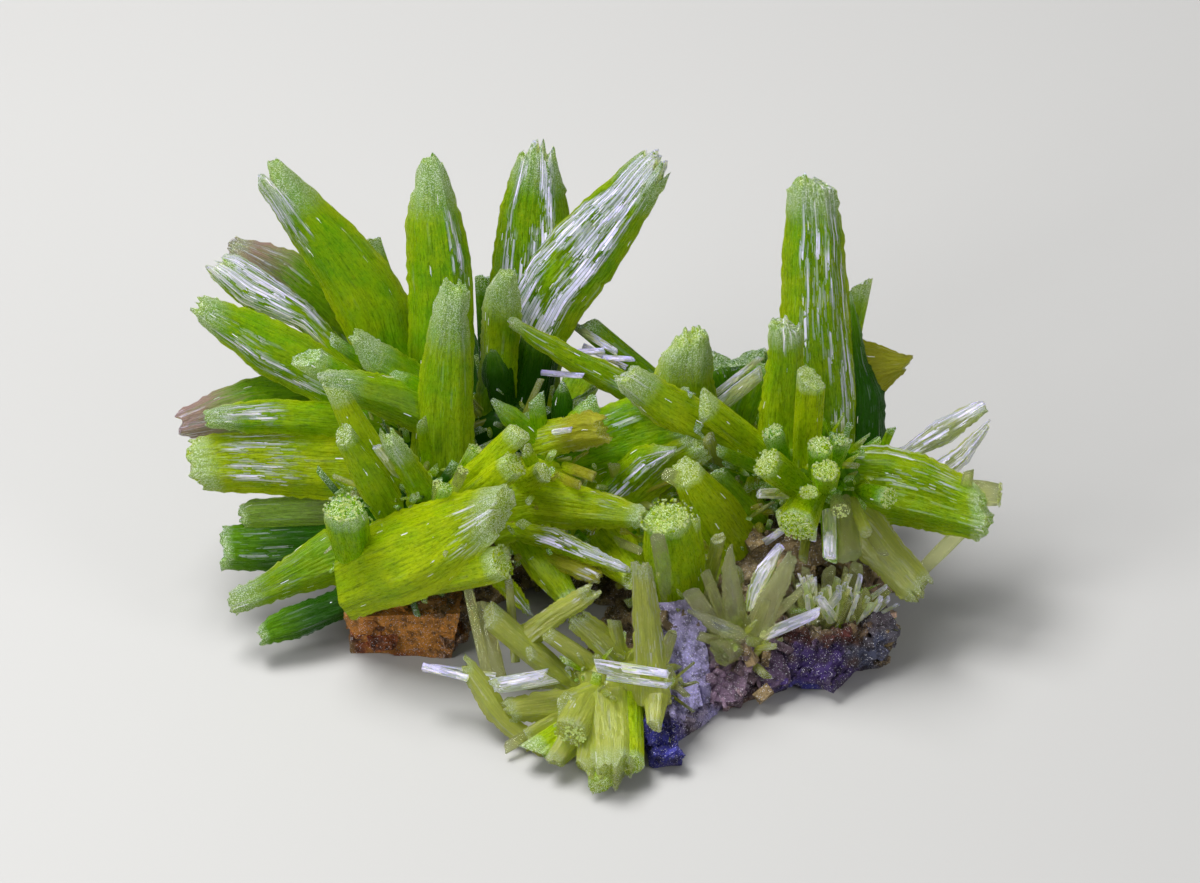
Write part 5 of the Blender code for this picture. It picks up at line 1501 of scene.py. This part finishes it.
chips = [rock]
while len(chips) < CHIPS:
    i = rng.randrange(len(rock_places))
    place = Vector(rock_places[i])
    if place.z < CHIP_LOWEST * MM:
        continue
    size = rng.choice((0.25, 0.35, 0.45, 0.7)) * rng.uniform(0.7, 1.3) * MM
    chip = own_copy(CHIP)
    turn = Vector(normals[i]).to_track_quat("Z", "Y").to_matrix().to_4x4()
    turn = turn @ Matrix.Rotation(rng.uniform(0, 6.28), 4, "Z")
    turn = turn @ Matrix.Rotation(rng.uniform(-0.6, 0.6), 4, "X")
    shape = Matrix.Diagonal((size, size * rng.uniform(0.4, 1.0), size * rng.uniform(0.4, 1.1), 1))
    chip.data.transform(Matrix.Translation(place) @ turn @ shape)
    paint_as_below(chip, i, rng.uniform(0.6, 1.5))
    chips.append(chip)
for _ in range(SPLINTERS):
    i = rng.randrange(len(rock_places))
    place = Vector(rock_places[i])
    if place.z < SPLINTER_LOWEST * MM:
        continue
    shard = own_copy(SHARD)
    size = rng.choice((0.6, 0.9, 1.4)) * rng.uniform(0.7, 1.2) * MM
    axis = Vector(normals[i]) + Vector([rng.gauss(0, 0.5) for _ in range(3)])
    turn = axis.to_track_quat("Z", "Y").to_matrix().to_4x4()
    shape = Matrix.Diagonal((size, size * rng.uniform(0.2, 0.5), size * rng.uniform(0.6, 1.0), 1))
    shard.data.transform(Matrix.Translation(place) @ turn
                         @ Matrix.Rotation(rng.uniform(0, 6.28), 4, "Z") @ shape)
    if min(v.co.z for v in shard.data.vertices) < SPLINTER_TIP_LOWEST * MM:
        bpy.data.objects.remove(shard)
        continue
    paint_as_below(shard, i, rng.uniform(0.7, 1.9))
    chips.append(shard)
print("chips and splinters", len(chips) - 1)
chips += [plate(*entry) for entry in PLATES]
rock = join(chips, "broken_rock", smooth=24)
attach(rock, "root")
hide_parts("matrix_rock")

# %% [markdown]
# ## The rock's finish
# The real rock is dull, gritty and glitters here and there. Its colours come from the marks on the
# mesh, because they follow the patches. Grit darkens them in the hollows of its bump, dark grit with
# painted shade; lighter specks are painted highlights, and single grains shine as painted glints.

# %% The rock's finish
GRIT_AND_CREVICE_SHADE = (0.02, 0.014, 0.014)
SPARK = (0.85, 0.84, 0.90)
stone = Finish("broken rock")
tint = stone.node("ShaderNodeAttribute", {"attribute_name": "tint"}, {})
grit = stone.clouds(stone.place_coords(1.6), detail=6, roughness=0.65)
fine = stone.clouds(stone.place_coords(7.0), detail=3)
sparks = stone.cells(stone.place_coords(5.0))
# Darker in the hollows of the grit's bump: dark grit with painted shade. The lighter specks are
# painted highlights on the grains, and the white sparks painted glints.
body = stone.mix(tint, GRIT_AND_CREVICE_SHADE, grit.between(0.58, 0.36) * 0.75)
light = stone.node("ShaderNodeVectorMath", {"operation": "SCALE"}, {0: tint, "Scale": 2.2})
body = stone.mix(body, light, fine.between(0.55, 0.70) * 0.5)
body = stone.mix(body, SPARK, (sparks > 0.965) * 0.8)
stone.set(Base_Color=body, Roughness=(0.66 - sparks * 0.4), Specular_IOR_Level=0.25)
stone.bump(grit + fine * 0.4 + sparks * 0.3, 0.35, 0.9)
rock.data.materials.clear()
rock.data.materials.append(stone.material)

# %% [markdown]
# ## Floor, light and camera
# A pale floor and three soft lights: the strongest above, one from the left and the weakest from the
# right. Soft lights suit crystals, because small hard ones would leave only a few bright specks.

# %% The stage
begin()
bpy.ops.mesh.primitive_plane_add(size=3.0, location=(0, 0, 0))
floor = bpy.context.object
floor.name = "floor"
paper = Finish("pale paper")
paper.set(Base_Color=(0.42, 0.415, 0.405), Roughness=0.9)
floor.data.materials.append(paper.material)


AIM_HEIGHT = 8  # mm: the lights point here, above the middle of the floor


def soft_light(name, place_mm, size_mm, power):
    """A rectangular lamp that points at the cluster."""
    lamp = bpy.data.lights.new(name, "AREA")
    lamp.shape = "RECTANGLE"
    lamp.size = size_mm[0] * MM
    lamp.size_y = size_mm[1] * MM
    lamp.energy = power
    obj = bpy.data.objects.new(name, lamp)
    add_to_scene(obj)
    obj.location = Vector(place_mm) * MM
    aim = Vector((0, 0, AIM_HEIGHT * MM)) - obj.location
    obj.rotation_euler = aim.to_track_quat("-Z", "Y").to_euler()


soft_light("softbox above", (-90, 40, 240), (150, 120), 0.95)
soft_light("softbox left", (-220, -140, 140), (110, 110), 0.46)
soft_light("fill right", (240, -160, 120), (120, 120), 0.30)

bpy.context.scene.view_settings.view_transform = "Standard"
world = bpy.data.worlds.new("studio")
bpy.context.scene.world = world
world.use_nodes = True
background = world.node_tree.nodes["Background"]
background.inputs["Color"].default_value = (0.92, 0.95, 1.0, 1)
background.inputs["Strength"].default_value = 0.22

# %% [markdown]
# The camera has a very long lens, as close-up pictures of small specimens often do, so that near and
# far crystals keep their proportions. It frames the cluster as the photo does.

# %% The camera
FRAME_WIDTH = 72  # mm across the frame at the cluster
DISTANCE = 800  # mm
SENSOR_WIDTH = 36  # mm
PHOTO_WIDTH = 1200
PHOTO_HEIGHT = 883
ORIGIN_ROW = 593  # the photo's row at which the model's origin shows
lens = bpy.data.cameras.new("long lens")
lens.sensor_width = SENSOR_WIDTH
lens.lens = SENSOR_WIDTH * DISTANCE / FRAME_WIDTH
lens.clip_start = 0.01
camera = bpy.data.objects.new("camera", lens)
add_to_scene(camera)
bpy.context.scene.camera = camera
middle_row = (ORIGIN_ROW - PHOTO_HEIGHT / 2) * FRAME_WIDTH / PHOTO_WIDTH
camera.location = seen(0, middle_row, DISTANCE)
camera.rotation_euler = (math.radians(90) - VIEW_TILT, 0, 0)
print("camera at", [round(x, 3) for x in camera.location])

# %% [markdown]
# ## Clearing up
# The forms have done their work and go.

# %% The end
all_forms = sum([*FINE.values(), *COARSE.values()], STUBS + [GRAIN, CHIP, SHARD])
for form in all_forms:
    bpy.data.objects.remove(form)
bpy.data.objects.remove(guide)
